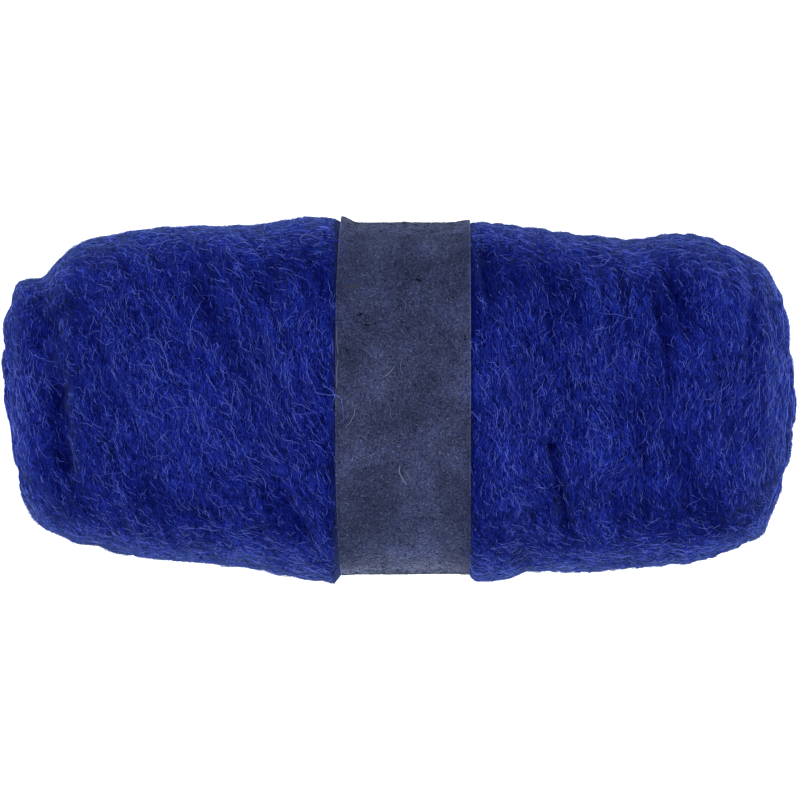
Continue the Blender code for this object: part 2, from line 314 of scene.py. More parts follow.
# Where such a fibre may start, as parts of the strip's length and width, how much its thickness varies, and
# how far it wanders in degrees; then how near the cut edge it stays, in columns of the strip's grid, and how
# high it lies, as a part of its thickness
FLECK_SEED = 301
FLECK_ALONG = (0.01, 0.99)
FLECK_ACROSS = (0.03, 0.97)
FLECK_THICKNESS = (0.7, 1.2)
FLECK_WANDER = 9.0
FLECK_EDGE = 0.3
FLECK_LIFT = 0.2

# One row for each fibre or bark speck that stands out on the band's top: where it starts, the way it goes in
# degrees, its length, its curl in degrees for each step, its thickness and its tone
PAPER_MARK_COLUMNS = ("x", "y", "way", "length", "curl", "thickness", "tone")
PAPER_MARK_STEPS = 8
PAPER_MARKS = (
    (5.4, 43.5, -18.0, 2.3, 0.0, 0.85, 3),
    (-15.6, 30.4, 20.0, 2.0, 0.0, 0.65, 3),
    (-13.0, 26.9, 3.0, 2.0, 0.0, 0.62, 3),
    (23.6, 24.0, -110.0, 2.6, 3.0, 0.45, 3),
    (0.2, 65.0, 5.0, 2.2, 0.0, 0.50, 3),
    (18.0, 36.5, 30.0, 1.5, 0.0, 0.45, 3),
    (-19.5, 18.5, -50.0, 1.2, 0.0, 0.45, 3),
    (-21.8, 40.2, -3.0, 6.6, 2.0, 0.34, 4),
    (18.4, 61.8, 80.0, 1.1, 0.0, 0.70, 4),
    (0.2, -21.5, -95.0, 10.0, 7.0, 0.55, 2),
    (0.9, -22.5, -80.0, 8.0, 6.0, 0.40, 1),
    (1.6, -24.5, -75.0, 6.0, 5.0, 0.40, 1),
    (-16.4, -1.5, -82.0, 9.5, -7.0, 0.34, 2),
    (1.6, 17.3, -115.0, 8.0, 8.0, 0.36, 1),
    (-2.0, 13.5, -105.0, 7.0, -6.0, 0.40, 2),
    (-5.5, 10.3, -60.0, 5.0, 14.0, 0.34, 1),
    (-4.5, 8.0, -110.0, 6.0, 9.0, 0.36, 1),
    (-5.3, 5.3, -60.0, 5.0, 14.0, 0.36, 1),
    (-4.0, 1.0, -95.0, 9.0, 5.0, 0.36, 1),
    (-14.4, -11.9, -70.0, 4.0, 10.0, 0.38, 1),
    (-8.4, -17.7, -130.0, 6.0, -6.0, 0.36, 1),
    (13.0, -3.0, -80.0, 7.0, 9.0, 0.32, 1),
    (9.0, -42.0, 25.0, 7.0, -5.0, 0.34, 1),
    (-9.0, -52.0, -15.0, 8.0, -6.0, 0.34, 1),
    (-22.5, 29.0, -90.0, 13.0, 0.5, 0.70, 1),
    (-22.3, 17.0, -91.0, 13.0, -0.5, 0.80, 1),
    (-22.5, 4.0, -88.0, 9.0, 0.5, 0.60, 0),
    (24.8, -6.0, -90.0, 12.0, 0.5, 0.55, 0),
    (24.7, -18.0, -89.0, 12.0, -0.5, 0.55, 0),
)

# The stage, in metres: the picture is a little wider than the roll at the height of its outline. The floor
# glows, one large light hangs overhead, and four stand round the roll at its four sides, low down.
CAMERA_HEIGHT = 4.0
OUTLINE_HEIGHT = 0.055
PICTURE_WIDTH = 0.2918
SENSOR_WIDTH = 36.0
FLOOR_SIZE = 14.0
FLOOR_SHADE = 0.9
FLOOR_ROUGHNESS = 0.9
FLOOR_SPECULAR = 0.5
KEY_HEIGHT = 5.0
KEY_SIZE = 1.8
SIDE_DISTANCE = 1.6
SIDE_HEIGHT = 0.3
SIDE_SIZE = 1.0
SIDE_COLOUR = (0.6, 1.0, 1.0)
SIDE_LIGHTS = (("far", 0, 1), ("near", 0, -1), ("left", -1, 0), ("right", 1, 0))

# The tones a fibre can have, as linear light: eight from the deepest to the palest, two rare ones and a
# paler, greyer one that paints sheen along the rims. Each has a column of the map, and a fibre takes up this
# part of its width.
TONE_WIDTH = 0.8
TONES = (
    (0.0002, 0.0010, 0.060),
    (0.0007, 0.0026, 0.110),
    (0.0020, 0.0054, 0.158),
    (0.0048, 0.0102, 0.210),
    (0.0110, 0.0190, 0.275),
    (0.0265, 0.0420, 0.385),
    (0.0640, 0.0940, 0.530),
    (0.1550, 0.2050, 0.760),
    (0.0060, 0.0350, 0.230),
    (0.0300, 0.0100, 0.110),
    (0.0650, 0.0960, 0.265),
)
PALEST_TONE = 7
RARE_TONES = ((8, 0.003), (9, 0.0015))

# How a fibre's tone is found: the parts of its random spread, how much paler or deeper soft patches are,
# how much painted shade a millimetre of depth gives it, and how much paler the rims and the ends are painted,
# a painted sheen where the roll's outline is seen edge-on, and where they start
TONE_SPREADS = (0.45, 0.9)
TONE_PATCH = 0.6
TONE_PATCH_SIZE = 20.0
TONE_PATCH_SEED = 51
TONE_SHADE = 0.6
TONE_RIM_SHEEN = 1.2
TONE_RIM_START_DEG = 45.0
TONE_RIM_FADE_DEG = 35.0
TONE_END_SHEEN = 0.8
TONE_END_START = 118.0
TONE_END_FADE = 20.0

# The share of fibres above a tone that take the paler, greyer tone right at the rims, a painted sheen, and
# how wide the rims are
RIM_SHEEN_TONE = 10
RIM_SHEEN_ABOVE = 2
RIM_SHEEN_SHARE = 0.75
RIM_WIDTH_DEG = 20.0

# The fibres' finish, with how dark their ends are painted where they sink in, a painted shade, on the wool
# and in the paper
FIBRE_ROUGHNESS = 0.7
WOOL_END_SHADE = 0.5
PAPER_END_SHADE = 0.9

# The matted skin's finish: its sheen, the size of its map in millimetres, its fine streaks from deep to pale,
# where the deep parts are painted shade in the gaps between fibres, the blotches, the painted shade that
# darkens it in its creases, hollows and other shaded parts, of which the deepest is this many millimetres,
# and its
# bump: how strong it is, and how high in metres
SKIN_ROUGHNESS = 0.85
SKIN_SHEEN = {"Sheen Weight": 0.11, "Sheen Roughness": 0.4, "Sheen Tint": (0.5, 0.7, 1.0, 1.0)}
SKIN_MAP_SIZE = (360.0, 380.0, 1.0)
SKIN_STREAK_SCALE = (1.5, 0.22, 1.0)
SKIN_STREAK_TURN = -14.0
# The near-black end of the skin's streaks is painted shade in the gaps between fibres
SKIN_GAP_SHADE = (0.42, (0.0001, 0.0003, 0.018))
SKIN_PALE = (0.6, (0.006, 0.012, 0.17))
SKIN_BLOTCH_SCALE = 70.0
SKIN_BLOTCHES = ((0.3, (0.72, 0.72, 0.72)), (0.7, (1.15, 1.15, 1.15)))
SKIN_SHADES = ((0.0, (1.0, 1.0, 1.0)), (0.5, (0.5, 0.5, 0.65)), (1.0, (0.25, 0.25, 0.45)))
SKIN_SHADE_DEEPEST = 4.0
SKIN_BUMP = (0.8, 0.0006)

# One row for each set of thin strands drawn in the skin: how it is turned in degrees, how fine it is across
# and along, and how much it is twisted
SKIN_STRAND_COLUMNS = ("turn", "across", "along", "twist")
SKIN_STRANDS = ((-24.0, 0.9, 0.24, 1.4), (-4.0, 1.1, 0.30, 1.8), (18.0, 1.0, 0.28, 1.6))
SKIN_STRAND_TONE = (0.022, 0.040, 0.33)
SKIN_STRAND_WIDTH = 0.017

# The tones of what lies in the paper: three of pale fibres, bark, a rust fibre, blue wool and a dark fibre
PAPER_TONES = (
    (0.048, 0.060, 0.100),
    (0.082, 0.100, 0.170),
    (0.140, 0.165, 0.255),
    (0.002, 0.003, 0.008),
    (0.080, 0.052, 0.050),
    (0.030, 0.035, 0.130),
    (0.011, 0.013, 0.038),
)

# One row for each layer of laid fibres, from the lowest up: how many lie in a square millimetre, the points
# of each path, the shortest and longest, the thickness, how high the arch may rise, the tone's middle and
# spread, and how much the path wanders, in degrees
LAYER_COLUMNS = (
    "density",
    "steps",
    "shortest",
    "longest",
    "thickness",
    "rise",
    "tone",
    "tone_spread",
    "wander",
)
LAYERS = (
    (0.04, 4, 4.0, 8.0, 0.280, 0.15, 0.8, 0.9, 6.0),
    (0.15, 3, 1.4, 3.4, 0.190, 0.30, 1.6, 1.3, 6.0),
    (0.20, 3, 1.3, 3.2, 0.130, 0.45, 5.2, 2.1, 8.0),
    (0.17, 5, 2.6, 6.4, 0.115, 0.50, 5.7, 1.9, 12.0),
    (0.11, 8, 5.0, 11.0, 0.110, 0.50, 5.6, 1.8, 8.0),
)

# How far a laid fibre is turned off the way of the skin, in degrees: on top, and how much more on the rims,
# which start so many degrees off the top; then the two factors that share them out, and how often each is
LAID_TURN = 11.0
LAID_TURN_RIM = 20.0
LAID_TURN_START_DEG = 40.0
LAID_TURN_FADE_DEG = 25.0
LAID_TURN_FACTORS = (0.8, 2.4)
LAID_TURN_SHARES = (0.8, 0.2)

# A laid fibre's bend at each step in degrees, how much its thickness varies, its lowest arch, and how deep
# its ends are sunk; then how much thinner the layers are on the underside, which starts so far off the top
LAID_BEND = 24.0
LAID_THICKNESS = (0.7, 1.15)
LAID_LEAST_RISE = 0.05
LAID_SINK = 0.15
UNDERSIDE_LESS = 0.82
UNDERSIDE_START_DEG = 100.0
UNDERSIDE_FADE_DEG = 40.0

# How every path goes on: the least part of its bend, how much of its turning it keeps at each step and how
# much is new; then the power that squares its arch off, and how thick its tips are against its middle
BEND_LEAST = 0.3
TURNING_KEPT = 0.8
TURNING_NEW = 0.6
ARCH_POWER = 0.7
TIP_THICKNESS = 0.55

# One row for each kind of loose fibre: the points of each path, the shortest and longest, the thinnest and
# thickest, the tone's middle and spread, and how it turns, bends and wanders, in degrees
LOOSE_COLUMNS = (
    "steps",
    "shortest",
    "longest",
    "thinnest",
    "thickest",
    "tone",
    "tone_spread",
    "turn",
    "bend",
    "wander",
)
STRAYS = (14, 8.0, 24.0, 0.10, 0.16, 4.9, 1.1, 45.0, 14.0, 10.0)
FLYAWAYS = (4, 1.6, 5.0, 0.10, 0.14, 4.6, 0.9, 70.0, 20.0, 18.0)
LOOSE_SEED = 201
LOOSE_SINK = 0.1
STRAY_RISE = (0.4, 0.9)
FLYAWAY_LEAST_RISE = 0.2
FLYAWAY_RISE = 0.35
FLYAWAY_MOST_RISE = 1.6

# How thick the flyaways are sown away from the rims, and at the ends, against the rims
FLYAWAY_ELSEWHERE = 0.06
FLYAWAY_END = 0.7
FLYAWAY_END_START = 130.0
FLYAWAY_END_FADE = 8.0

# One row for each lock of pale fibres that stands out on top: where it starts and ends, its width, how many
# fibres it has and their tone
LOCK_COLUMNS = ("x", "y", "x_end", "y_end", "width", "count", "tone")
LOCK_STEPS = 9
LOCKS = (
    (31.9, 29.7, 44.7, -10.4, 1.1, 30, 5),
    (-84.5, 36.3, -73.5, 13.7, 1.8, 12, 5),
    (-96.0, 4.0, -84.0, -28.0, 3.0, 18, 5),
    (-58.0, 25.0, -42.0, -15.0, 3.5, 18, 5),
    (76.8, 21.7, 83.0, -12.0, 2.2, 18, 5),
    (66.0, 26.0, 72.0, -4.0, 1.8, 14, 5),
    (111.8, 46.5, 115.5, 24.0, 2.2, 14, 5),
    (117.6, 21.7, 121.4, -16.0, 2.4, 12, 5),
    (92.5, 14.0, 96.0, -20.0, 2.2, 12, 5),
)

# Where along a lock a fibre may start and how much of the lock it follows, how far it lies to one side and
# drifts at each step, against the lock's width, how thick it is, how high it arches, and its tone's change
LOCK_START = (0.0, 0.5)
LOCK_PART = (0.3, 0.5)
LOCK_ASIDE = 0.6
LOCK_DRIFT = 0.375
LOCK_THICKNESS = (0.10, 0.14)
LOCK_RISE = (0.4, 0.7)
LOCK_TONE_CHANGE = 1

# The parts of the roll whose laid fibres are one piece each: the places along the roll that each starts and
# ends at, and its seed
ROLL_REACH = (-150.0, 150.0)
FIBRE_PARTS = (
    ("left_end_fibres", ROLL_REACH[0], -112.0, 101),
    ("left_outer_fibres", -112.0, -68.0, 102),
    ("left_inner_fibres", -68.0, BAND_LEFT, 103),
    ("right_inner_fibres", BAND_RIGHT, 68.0, 104),
    ("right_outer_fibres", 68.0, 112.0, 105),
    ("right_end_fibres", 112.0, ROLL_REACH[1], 106),
)


def smooth_step(value):
    """0 below 0, 1 above 1, and an even S between them."""
    value = np.clip(value, 0.0, 1.0)
    return value * value * (3.0 - 2.0 * value)


def unit(vectors):
    """Vectors of length one, the same way."""
    return vectors / np.maximum(np.linalg.norm(vectors, axis=-1, keepdims=True), 1e-12)


def lattice_noise(points, size, seed):
    """Soft random values about 0 at places in space: each cell's eight corners have a random value, and a
    point takes their mean, weighted by an S curve of its place in the cell."""
    cells = 32
    corners = np.random.default_rng(seed).uniform(-1.0, 1.0, (cells, cells, cells))
    place = points / size
    low = np.floor(place).astype(int)
    inside = smooth_step(place - low)
    total = np.zeros(points.shape[:-1])
    for corner in np.ndindex(2, 2, 2):
        weight = np.prod(np.where(corner, inside, 1.0 - inside), axis=-1)
        index = (low + corner) % cells
        total += weight * corners[index[..., 0], index[..., 1], index[..., 2]]
    return total


def section_rows(count):
    """Sections at even steps along the skin, on a Catmull-Rom curve through the table's rows."""
    rows = np.array(SECTIONS)
    padded = np.vstack([2 * rows[0] - rows[1], rows, 2 * rows[-1] - rows[-2]])
    fine = np.linspace(0.0, len(rows) - 1.0, CURVE_SAMPLES * len(rows))

    def curve(place):
        index = np.minimum(place.astype(int), len(rows) - 2)
        t = (place - index)[:, None]
        before, start, end, after = (padded[index + offset] for offset in range(4))
        return 0.5 * (
            2 * start
            + (end - before) * t
            + (2 * before - 5 * start + 4 * end - after) * t**2
            + (3 * start - before - 3 * end + after) * t**3
        )

    traced = curve(fine)
    outline = np.stack([traced[:, 0], (traced[:, 1] - traced[:, 2]) / 2], axis=1)
    run = np.concatenate([[0.0], np.cumsum(np.hypot(*np.diff(outline, axis=0).T))])
    return curve(np.interp(np.linspace(0.0, run[-1], count), run, fine))


def section_point(far, near, middle, degrees, out=0.0):
    """Y and Z of a point on a section's rounded, slightly squared outline, pushed out by a distance."""
    angle = np.radians(degrees)
    half = (far - near) / 2
    wide = np.maximum(half + out, 1e-6)
    high = np.maximum(half * HEIGHT_TO_WIDTH + out, 1e-6)
    across = np.abs(np.cos(angle)) / wide
    up = np.abs(np.sin(angle)) / high
    radius = (across**SQUARENESS + up**SQUARENESS) ** (-1.0 / SQUARENESS)
    return (far + near) / 2 + radius * np.cos(angle), middle + radius * np.sin(angle)


def bow(x, degrees):
    """How far the band's left edge, and the wool beside it, leans to the right at the roll's two sides."""
    nearness = smooth_step(1.0 - np.abs(x - BAND_LEFT) / BAND_BOW_REACH)
    return BAND_BOW * np.abs(np.cos(np.radians(degrees))) ** 4 * nearness


def fold_depth(x, degrees):
    """The depth of all creases and hollows at a place: each is a rounded trough along its own line."""
    total = np.zeros(np.broadcast(x, degrees).shape)
    per_degree = math.radians(GIRTH_RADIUS)
    for row in FOLDS:
        fold = dict(zip(FOLD_COLUMNS, row))
        run_x = fold["x_to"] - fold["x_from"]
        run_round = (fold["deg_to"] - fold["deg_from"]) * per_degree
        from_x = x - fold["x_from"]
        from_round = ((degrees - fold["deg_from"] + 180.0) % 360.0 - 180.0) * per_degree
        along = (from_x * run_x + from_round * run_round) / (run_x**2 + run_round**2)
        along = np.clip(along, 0, 1)
        away = np.hypot(from_x - along * run_x, from_round - along * run_round)
        total += fold["depth"] * np.exp(-((away / fold["half_width"]) ** 2))
    return total


def tail_height(x, degrees):
    """The step of the batt's end: it rises slowly round the roll and drops at once, clear of the band."""
    before = (TAIL_DEG - degrees + 180.0) % 360.0 - 180.0
    rise = smooth_step(1.0 - before / TAIL_RISE_DEG) * (before >= 0)
    drop = smooth_step(1.0 + before / TAIL_DROP_DEG) * (before < 0)
    ends = smooth_step((TAIL_REACH - np.abs(x)) / TAIL_FADE)
    band = smooth_step((np.abs(x) - TAIL_BAND_START) / (TAIL_BAND_END - TAIL_BAND_START))
    return TAIL_STEP * (rise + drop) * ends * band


def turn_depth(x, y, z):
    """The spiral hollow between the turns that show at each end of the roll."""
    up = (z - AXIS_HEIGHT) / HEIGHT_TO_WIDTH
    from_axis = np.hypot(y, up)
    turned = np.degrees(np.arctan2(up, y)) - TAIL_DEG
    place = from_axis / TURN_PITCH - turned / 360.0
    away = (place - np.round(place)) * TURN_PITCH
    inner = smooth_step((from_axis - TURN_INNER_RADIUS) / TURN_FADE)
    outer = smooth_step((TURN_OUTER_RADIUS - from_axis) / TURN_FADE)
    at_end = smooth_step((np.abs(x) - TURN_START_X) / TURN_FADE)
    return TURN_DEPTH * np.exp(-((away / TURN_HALF_WIDTH) ** 2)) * inner * outer * at_end


def grid_normals(points):
    """Normals of a grid that closes on itself round the roll, pointing out."""
    round_roll = np.roll(points, -1, axis=1) - np.roll(points, 1, axis=1)
    along_roll = np.gradient(points, axis=0)
    normals = unit(np.cross(round_roll, along_roll))
    normals[0], normals[-1] = (-1.0, 0.0, 0.0), (1.0, 0.0, 0.0)
    return normals


def lean_of_half(x):
    """How far fibres lean at a place along the roll, where the left half's lean gives way to the right's."""
    side = smooth_step((x + LEAN_CHANGE) / (2 * LEAN_CHANGE))
    return LEAN_LEFT + (LEAN_RIGHT - LEAN_LEFT) * side


def fibre_lean(points, degrees):
    """Degrees off the way round the roll in which fibres lie. The left half leans more than the right, the
    two rims lie nearly along the roll, the ends nearly round it, and clumps of fibres swing off all of
    these."""
    x = points[..., 0]
    lean = lean_of_half(x)
    rim = smooth_step((from_top(degrees) - LEAN_RIM_START_DEG) / LEAN_RIM_FADE_DEG)
    lean = lean + (LEAN_RIM - lean) * rim
    end = smooth_step((np.abs(x) - LEAN_END_START) / LEAN_END_FADE)
    lean = lean + (LEAN_END - lean) * end
    for row in LEAN_CLUMPS:
        clump = dict(zip(LEAN_CLUMP_COLUMNS, row))
        lean = lean + clump["swing"] * lattice_noise(points, clump["size"], clump["seed"])
    return lean


@functools.lru_cache(maxsize=1)
def wool_skin():
    """The skin's grid in millimetres with what the fibres need of it: points, normals, the length of a step
    along and round the roll, degrees, the way fibres lie, and its depth, which is painted shade: how much the
    colour is darkened in creases, hollows and low streaks, beside the band and on the shoulders, and
    lightened on high streaks. The sections' outlines are moved out along their normals by the batt's end, the
    streaks and the clumps less the folds, and in along the roll by the spiral at its ends."""
    rows = section_rows(SKIN_ROWS + 1)
    section_x, far, near, middle, lean = (rows[:, [column]] for column in range(len(SECTION_COLUMNS)))
    degrees = np.arange(SKIN_COLUMNS) * 360.0 / SKIN_COLUMNS
    x = np.repeat(section_x, SKIN_COLUMNS, axis=1)
    x = x + bow(x, degrees)
    y, z = section_point(far, near, middle, degrees)
    x = x + lean * y
    points = np.stack([x, y, z], axis=-1)
    degrees = np.broadcast_to(degrees, x.shape)
    fibre_way = fibre_lean(points, degrees)
    streaks = streak_height(points, degrees)
    folds = fold_depth(x, degrees)
    turns = turn_depth(x, y, z)
    height = tail_height(x, degrees) - folds + streaks - SKIN_SINK
    for row in CLUMPS:
        clump = dict(zip(CLUMP_COLUMNS, row))
        height = height + clump["height"] * lattice_noise(points, clump["size"], clump["seed"])
    past_band = np.maximum(BAND_LEFT - x, x - BAND_RIGHT)
    free = smooth_step(past_band / WAIST_FADE)
    points = points + grid_normals(points) * (height * free)[..., None]
    points[..., 0] -= np.sign(x) * turns
    points[0] = points[0].mean(axis=0)
    points[-1] = points[-1].mean(axis=0)
    under_band = (section_x > BAND_LEFT - WAIST_MARGIN) & (section_x < BAND_RIGHT + WAIST_MARGIN)
    points[..., 2] = np.maximum(points[..., 2], np.where(under_band, BAND_SPACE, 0.0))
    # Painted shade, as millimetres of depth: darker right at the band's edges, beside the band and on the
    # shoulders
    shaded = BAND_SHADE * (1.0 - smooth_step(past_band / BAND_SHADE_WIDTH))
    shaded = shaded + BESIDE_BAND_SHADE * np.exp(-np.maximum(past_band, 0.0) / BESIDE_BAND_SHADE_REACH)
    off_shoulder = (from_top(degrees) - SHOULDER_DEG) / SHOULDER_WIDTH_DEG
    shoulder_shade = SHOULDER_SHADE * np.exp(-(off_shoulder**2))
    along = np.linalg.norm(np.gradient(points, axis=0), axis=-1)
    around = np.linalg.norm(np.roll(points, -1, axis=1) - np.roll(points, 1, axis=1), axis=-1) / 2
    # depth is painted shade: it darkens the colour in creases, hollows, low streaks, beside the band and on
    # the shoulders
    return {
        "points": points,
        "normals": grid_normals(points),
        "along": np.maximum(along, LEAST_STEP),
        "around": np.maximum(around, LEAST_STEP),
        "degrees": degrees,
        "way": fibre_way,
        "depth": folds + turns - STREAK_SHADE * streaks + shaded + shoulder_shade,
    }


def from_top(degrees):
    """How many degrees a place round the roll is from the top, either way."""
    return np.abs((degrees - 90.0 + 180.0) % 360.0 - 180.0)


def at_rim(degrees):
    """1 along the two rims, the roll's outline from above, and less either way on a bell curve."""
    return np.exp(-(((from_top(degrees) - 90.0) / RIM_WIDTH_DEG) ** 2))


def streak_height(points, degrees):
    """Long low ridges that run the way the fibres lie: noise that is narrow across that way and long in it.
    They fade out at the bottom."""
    x = points[..., 0]
    round_roll = np.radians((degrees + 90.0) % 360.0 - 180.0) * GIRTH_RADIUS
    turn = np.radians(lean_of_half(x))
    across = x * np.cos(turn) - round_roll * np.sin(turn)
    along = x * np.sin(turn) + round_roll * np.cos(turn)
    total = np.zeros_like(along)
    for row in STREAKS:
        streak = dict(zip(STREAK_COLUMNS, row))
        place = np.stack([across / streak["width"], along / streak["length"], np.zeros_like(along)], axis=-1)
        total += streak["height"] * lattice_noise(place, 1.0, streak["seed"])
    return total * smooth_step((STREAK_END_DEG - from_top(degrees)) / STREAK_FADE_DEG)


def sample(grid, row, column):
    """Values between a grid's points, in even parts of the four round them; columns go round and round."""
    rows, columns = grid.shape[:2]
    row = np.clip(row, 0.0, rows - 1.001)
    low_row = row.astype(int)
    low_column = np.floor(column).astype(int)
    down = row - low_row
    right = column - low_column
    if grid.ndim == 3:
        down, right = down[..., None], right[..., None]
    this, following = low_column % columns, (low_column + 1) % columns
    first = grid[low_row, this] * (1 - right) + grid[low_row, following] * right
    second = grid[low_row + 1, this] * (1 - right) + grid[low_row + 1, following] * right
    return first * (1 - down) + second * down


def mesh_object(name, points, faces, maps, finish, depth=None):
    """An object with its place in its mesh. points are in millimetres; faces and maps are matching lists of
    arrays, one for quads and one for triangles, of corners and of each corner's place on the UV map; depth is
    a value of painted shade for each point that the material can read."""
    mesh = bpy.data.meshes.new(name)
    corners = np.concatenate([part.ravel() for part in faces])
    sizes = np.concatenate([np.full(len(part), part.shape[1]) for part in faces])
    starts = np.concatenate([[0], np.cumsum(sizes)[:-1]])
    mesh.vertices.add(len(points))
    mesh.loops.add(len(corners))
    mesh.polygons.add(len(sizes))
    mesh.vertices.foreach_set("co", (points * MM).astype(np.float32).ravel())
    mesh.loops.foreach_set("vertex_index", corners.astype(np.int32))
    mesh.polygons.foreach_set("loop_start", starts.astype(np.int32))
    mesh.update(calc_edges=True)
    places = np.concatenate([part.reshape(-1, 2) for part in maps])
    mesh.uv_layers.new(name=MAP_NAME).data.foreach_set("uv", places.astype(np.float32).ravel())
    if depth is not None:
        mesh.attributes.new(PAINTED_SHADE_ATTRIBUTE, "FLOAT", "POINT").data.foreach_set("value", depth.astype(np.float32))
    mesh.validate()
    mesh.shade_smooth()
    mesh.materials.append(finish)
    made = bpy.data.objects.new(name, mesh)
    bpy.context.scene.collection.objects.link(made)
    return made


def skin_mesh(name, finish):
    """The skin as one closed mesh: quads between its rings and a fan of triangles at each end. The map has
    the roll's length across and its girth up."""
    points, depth = wool_skin()["points"], wool_skin()["depth"]
    rings = points[1:-1]
    count, columns = rings.shape[:2]
    ring = np.arange(count - 1)[:, None] * columns
    column = np.arange(columns)
    following = (column + 1) % columns
    quads = np.stack(
        [ring + column, ring + columns + column, ring + columns + following, ring + following], axis=-1
    )
    left, right = count * columns, count * columns + 1
    last = (count - 1) * columns
    left_fan = np.stack(np.broadcast_arrays(left, column, following), axis=-1)
    right_fan = np.stack(np.broadcast_arrays(right, last + following, last + column), axis=-1)
    u = np.arange(1, count)[:, None] / (count + 1)
    v = column / columns
    wide, high = 1 / (count + 1), 1 / columns
    quad_map = corner_map([(u, v), (u + wide, v), (u + wide, v + high), (u, v + high)])
    left_map = corner_map([(0.0, v + high / 2), (wide, v), (wide, v + high)])
    right_map = corner_map([(1.0, v + high / 2), (1 - wide, v + high), (1 - wide, v)])
    all_points = np.vstack([rings.reshape(-1, 3), points[0, 0], points[-1, 0]])
    faces = [quads.reshape(-1, 4), np.concatenate([left_fan, right_fan])]
    maps = [quad_map, np.concatenate([left_map, right_map])]
    # The painted shade at each point, with the mean of each end ring at the tips
    depth = np.concatenate([depth[1:-1].ravel(), [depth[0].mean(), depth[-1].mean()]])
    return mesh_object(name, all_points, faces, maps, finish, depth)


def corner_map(corners):
    """A map for faces, from a list of each corner's place across and up."""
    return np.stack([np.stack(np.broadcast_arrays(u, v), axis=-1) for u, v in corners], axis=-2)


def tubes(paths, normals, radii, tones, palette=TONES):
    """Every fibre as a closed tube of three sides: a ring of three points at each inner point of its path and
    a single point at either end. On the map a fibre's tone is its place across and its length runs up."""
    count, steps = paths.shape[:2]
    rings = steps - 2
    sides = 3
    along = unit(np.gradient(paths, axis=1))
    across = unit(np.cross(along, normals))
    outward = np.cross(across, along)
    turn = np.arange(sides) * 2 * math.pi / sides
    ring = outward[:, 1:-1, None] * np.cos(turn)[:, None] + across[:, 1:-1, None] * np.sin(turn)[:, None]
    ring = paths[:, 1:-1, None] + ring * radii[:, 1:-1, None, None]
    points = np.concatenate([ring.reshape(count, -1, 3), paths[:, [0, -1]]], axis=1)
    first = np.arange(count)[:, None, None] * (rings * sides + 2)
    level = np.arange(rings - 1)[None, :, None] * sides
    side = np.arange(sides)[None, None, :]
    following = (side + 1) % sides
    quads = np.stack(
        [
            first + level + side,
            first + level + following,
            first + level + sides + following,
            first + level + sides + side,
        ],
        axis=-1,
    )
    tip, end = first + rings * sides, first + rings * sides + 1
    last = first + (rings - 1) * sides
    start_fan = np.stack(np.broadcast_arrays(tip, first + following, first + side), axis=-1)
    end_fan = np.stack(np.broadcast_arrays(last + side, last + following, end), axis=-1)
    width = TONE_WIDTH / len(palette) / sides
    rise = 1 / (steps - 1)
    u = (tones[:, None, None] + (1 - TONE_WIDTH) / 2) / len(palette) + side * width
    v = (level / sides + 1) * rise
    quad_map = corner_map([(u, v), (u + width, v), (u + width, v + rise), (u, v + rise)])
    start_map = corner_map([(u + width / 2, 0.0), (u + width, rise), (u, rise)])
    end_map = corner_map([(u, 1 - rise), (u + width, 1 - rise), (u + width / 2, 1.0)])
    return {
        "points": points.reshape(-1, 3),
        "quads": quads.reshape(-1, 4),
        "fans": np.concatenate([start_fan.reshape(-1, 3), end_fan.reshape(-1, 3)]),
        "quad_map": quad_map.reshape(-1, 2),
        "fan_map": np.concatenate([start_map.reshape(-1, 2), end_map.reshape(-1, 2)]),
    }


def fibre_object(name, sets, finish):
    """One piece from several sets of tubes; each set's corners count on from the points before it."""
    before = np.cumsum([0] + [len(part["points"]) for part in sets[:-1]])
    faces = [
        np.concatenate([part[kind] + start for part, start in zip(sets, before)])
        for kind in ("quads", "fans")
    ]
    maps = [np.concatenate([part[kind] for part in sets]) for kind in ("quad_map", "fan_map")]
    made = mesh_object(name, np.concatenate([part["points"] for part in sets]), faces, maps, finish)
    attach(made, "root")
    return made


def area_between(x_from, x_to, weight):
    """The skin's area at each point of its grid, times a weight, between two places along the roll."""
    skin = wool_skin()
    x = skin["points"][..., 0]
    return skin["along"] * skin["around"] * weight * (x > x_from) * (x < x_to)


def fibre_seeds(rng, count, x_from, x_to, weight):
    """Random starting places on the skin between two places along the roll, even over its area times a
    weight."""
    area = area_between(x_from, x_to, weight)
    area[:POLE_ROWS] = 0.0
    area[-POLE_ROWS:] = 0.0
    total = np.cumsum(area.ravel())
    even = (np.arange(count) + rng.uniform(0.0, 1.0, count)) / count
    chosen = np.searchsorted(total, even * total[-1])
    row, column = np.divmod(chosen, area.shape[1])
    row = row + rng.uniform(-0.5, 0.5, count)
    column = column + rng.uniform(-0.5, 0.5, count)
    return np.clip(row, *ALL_ROWS), column


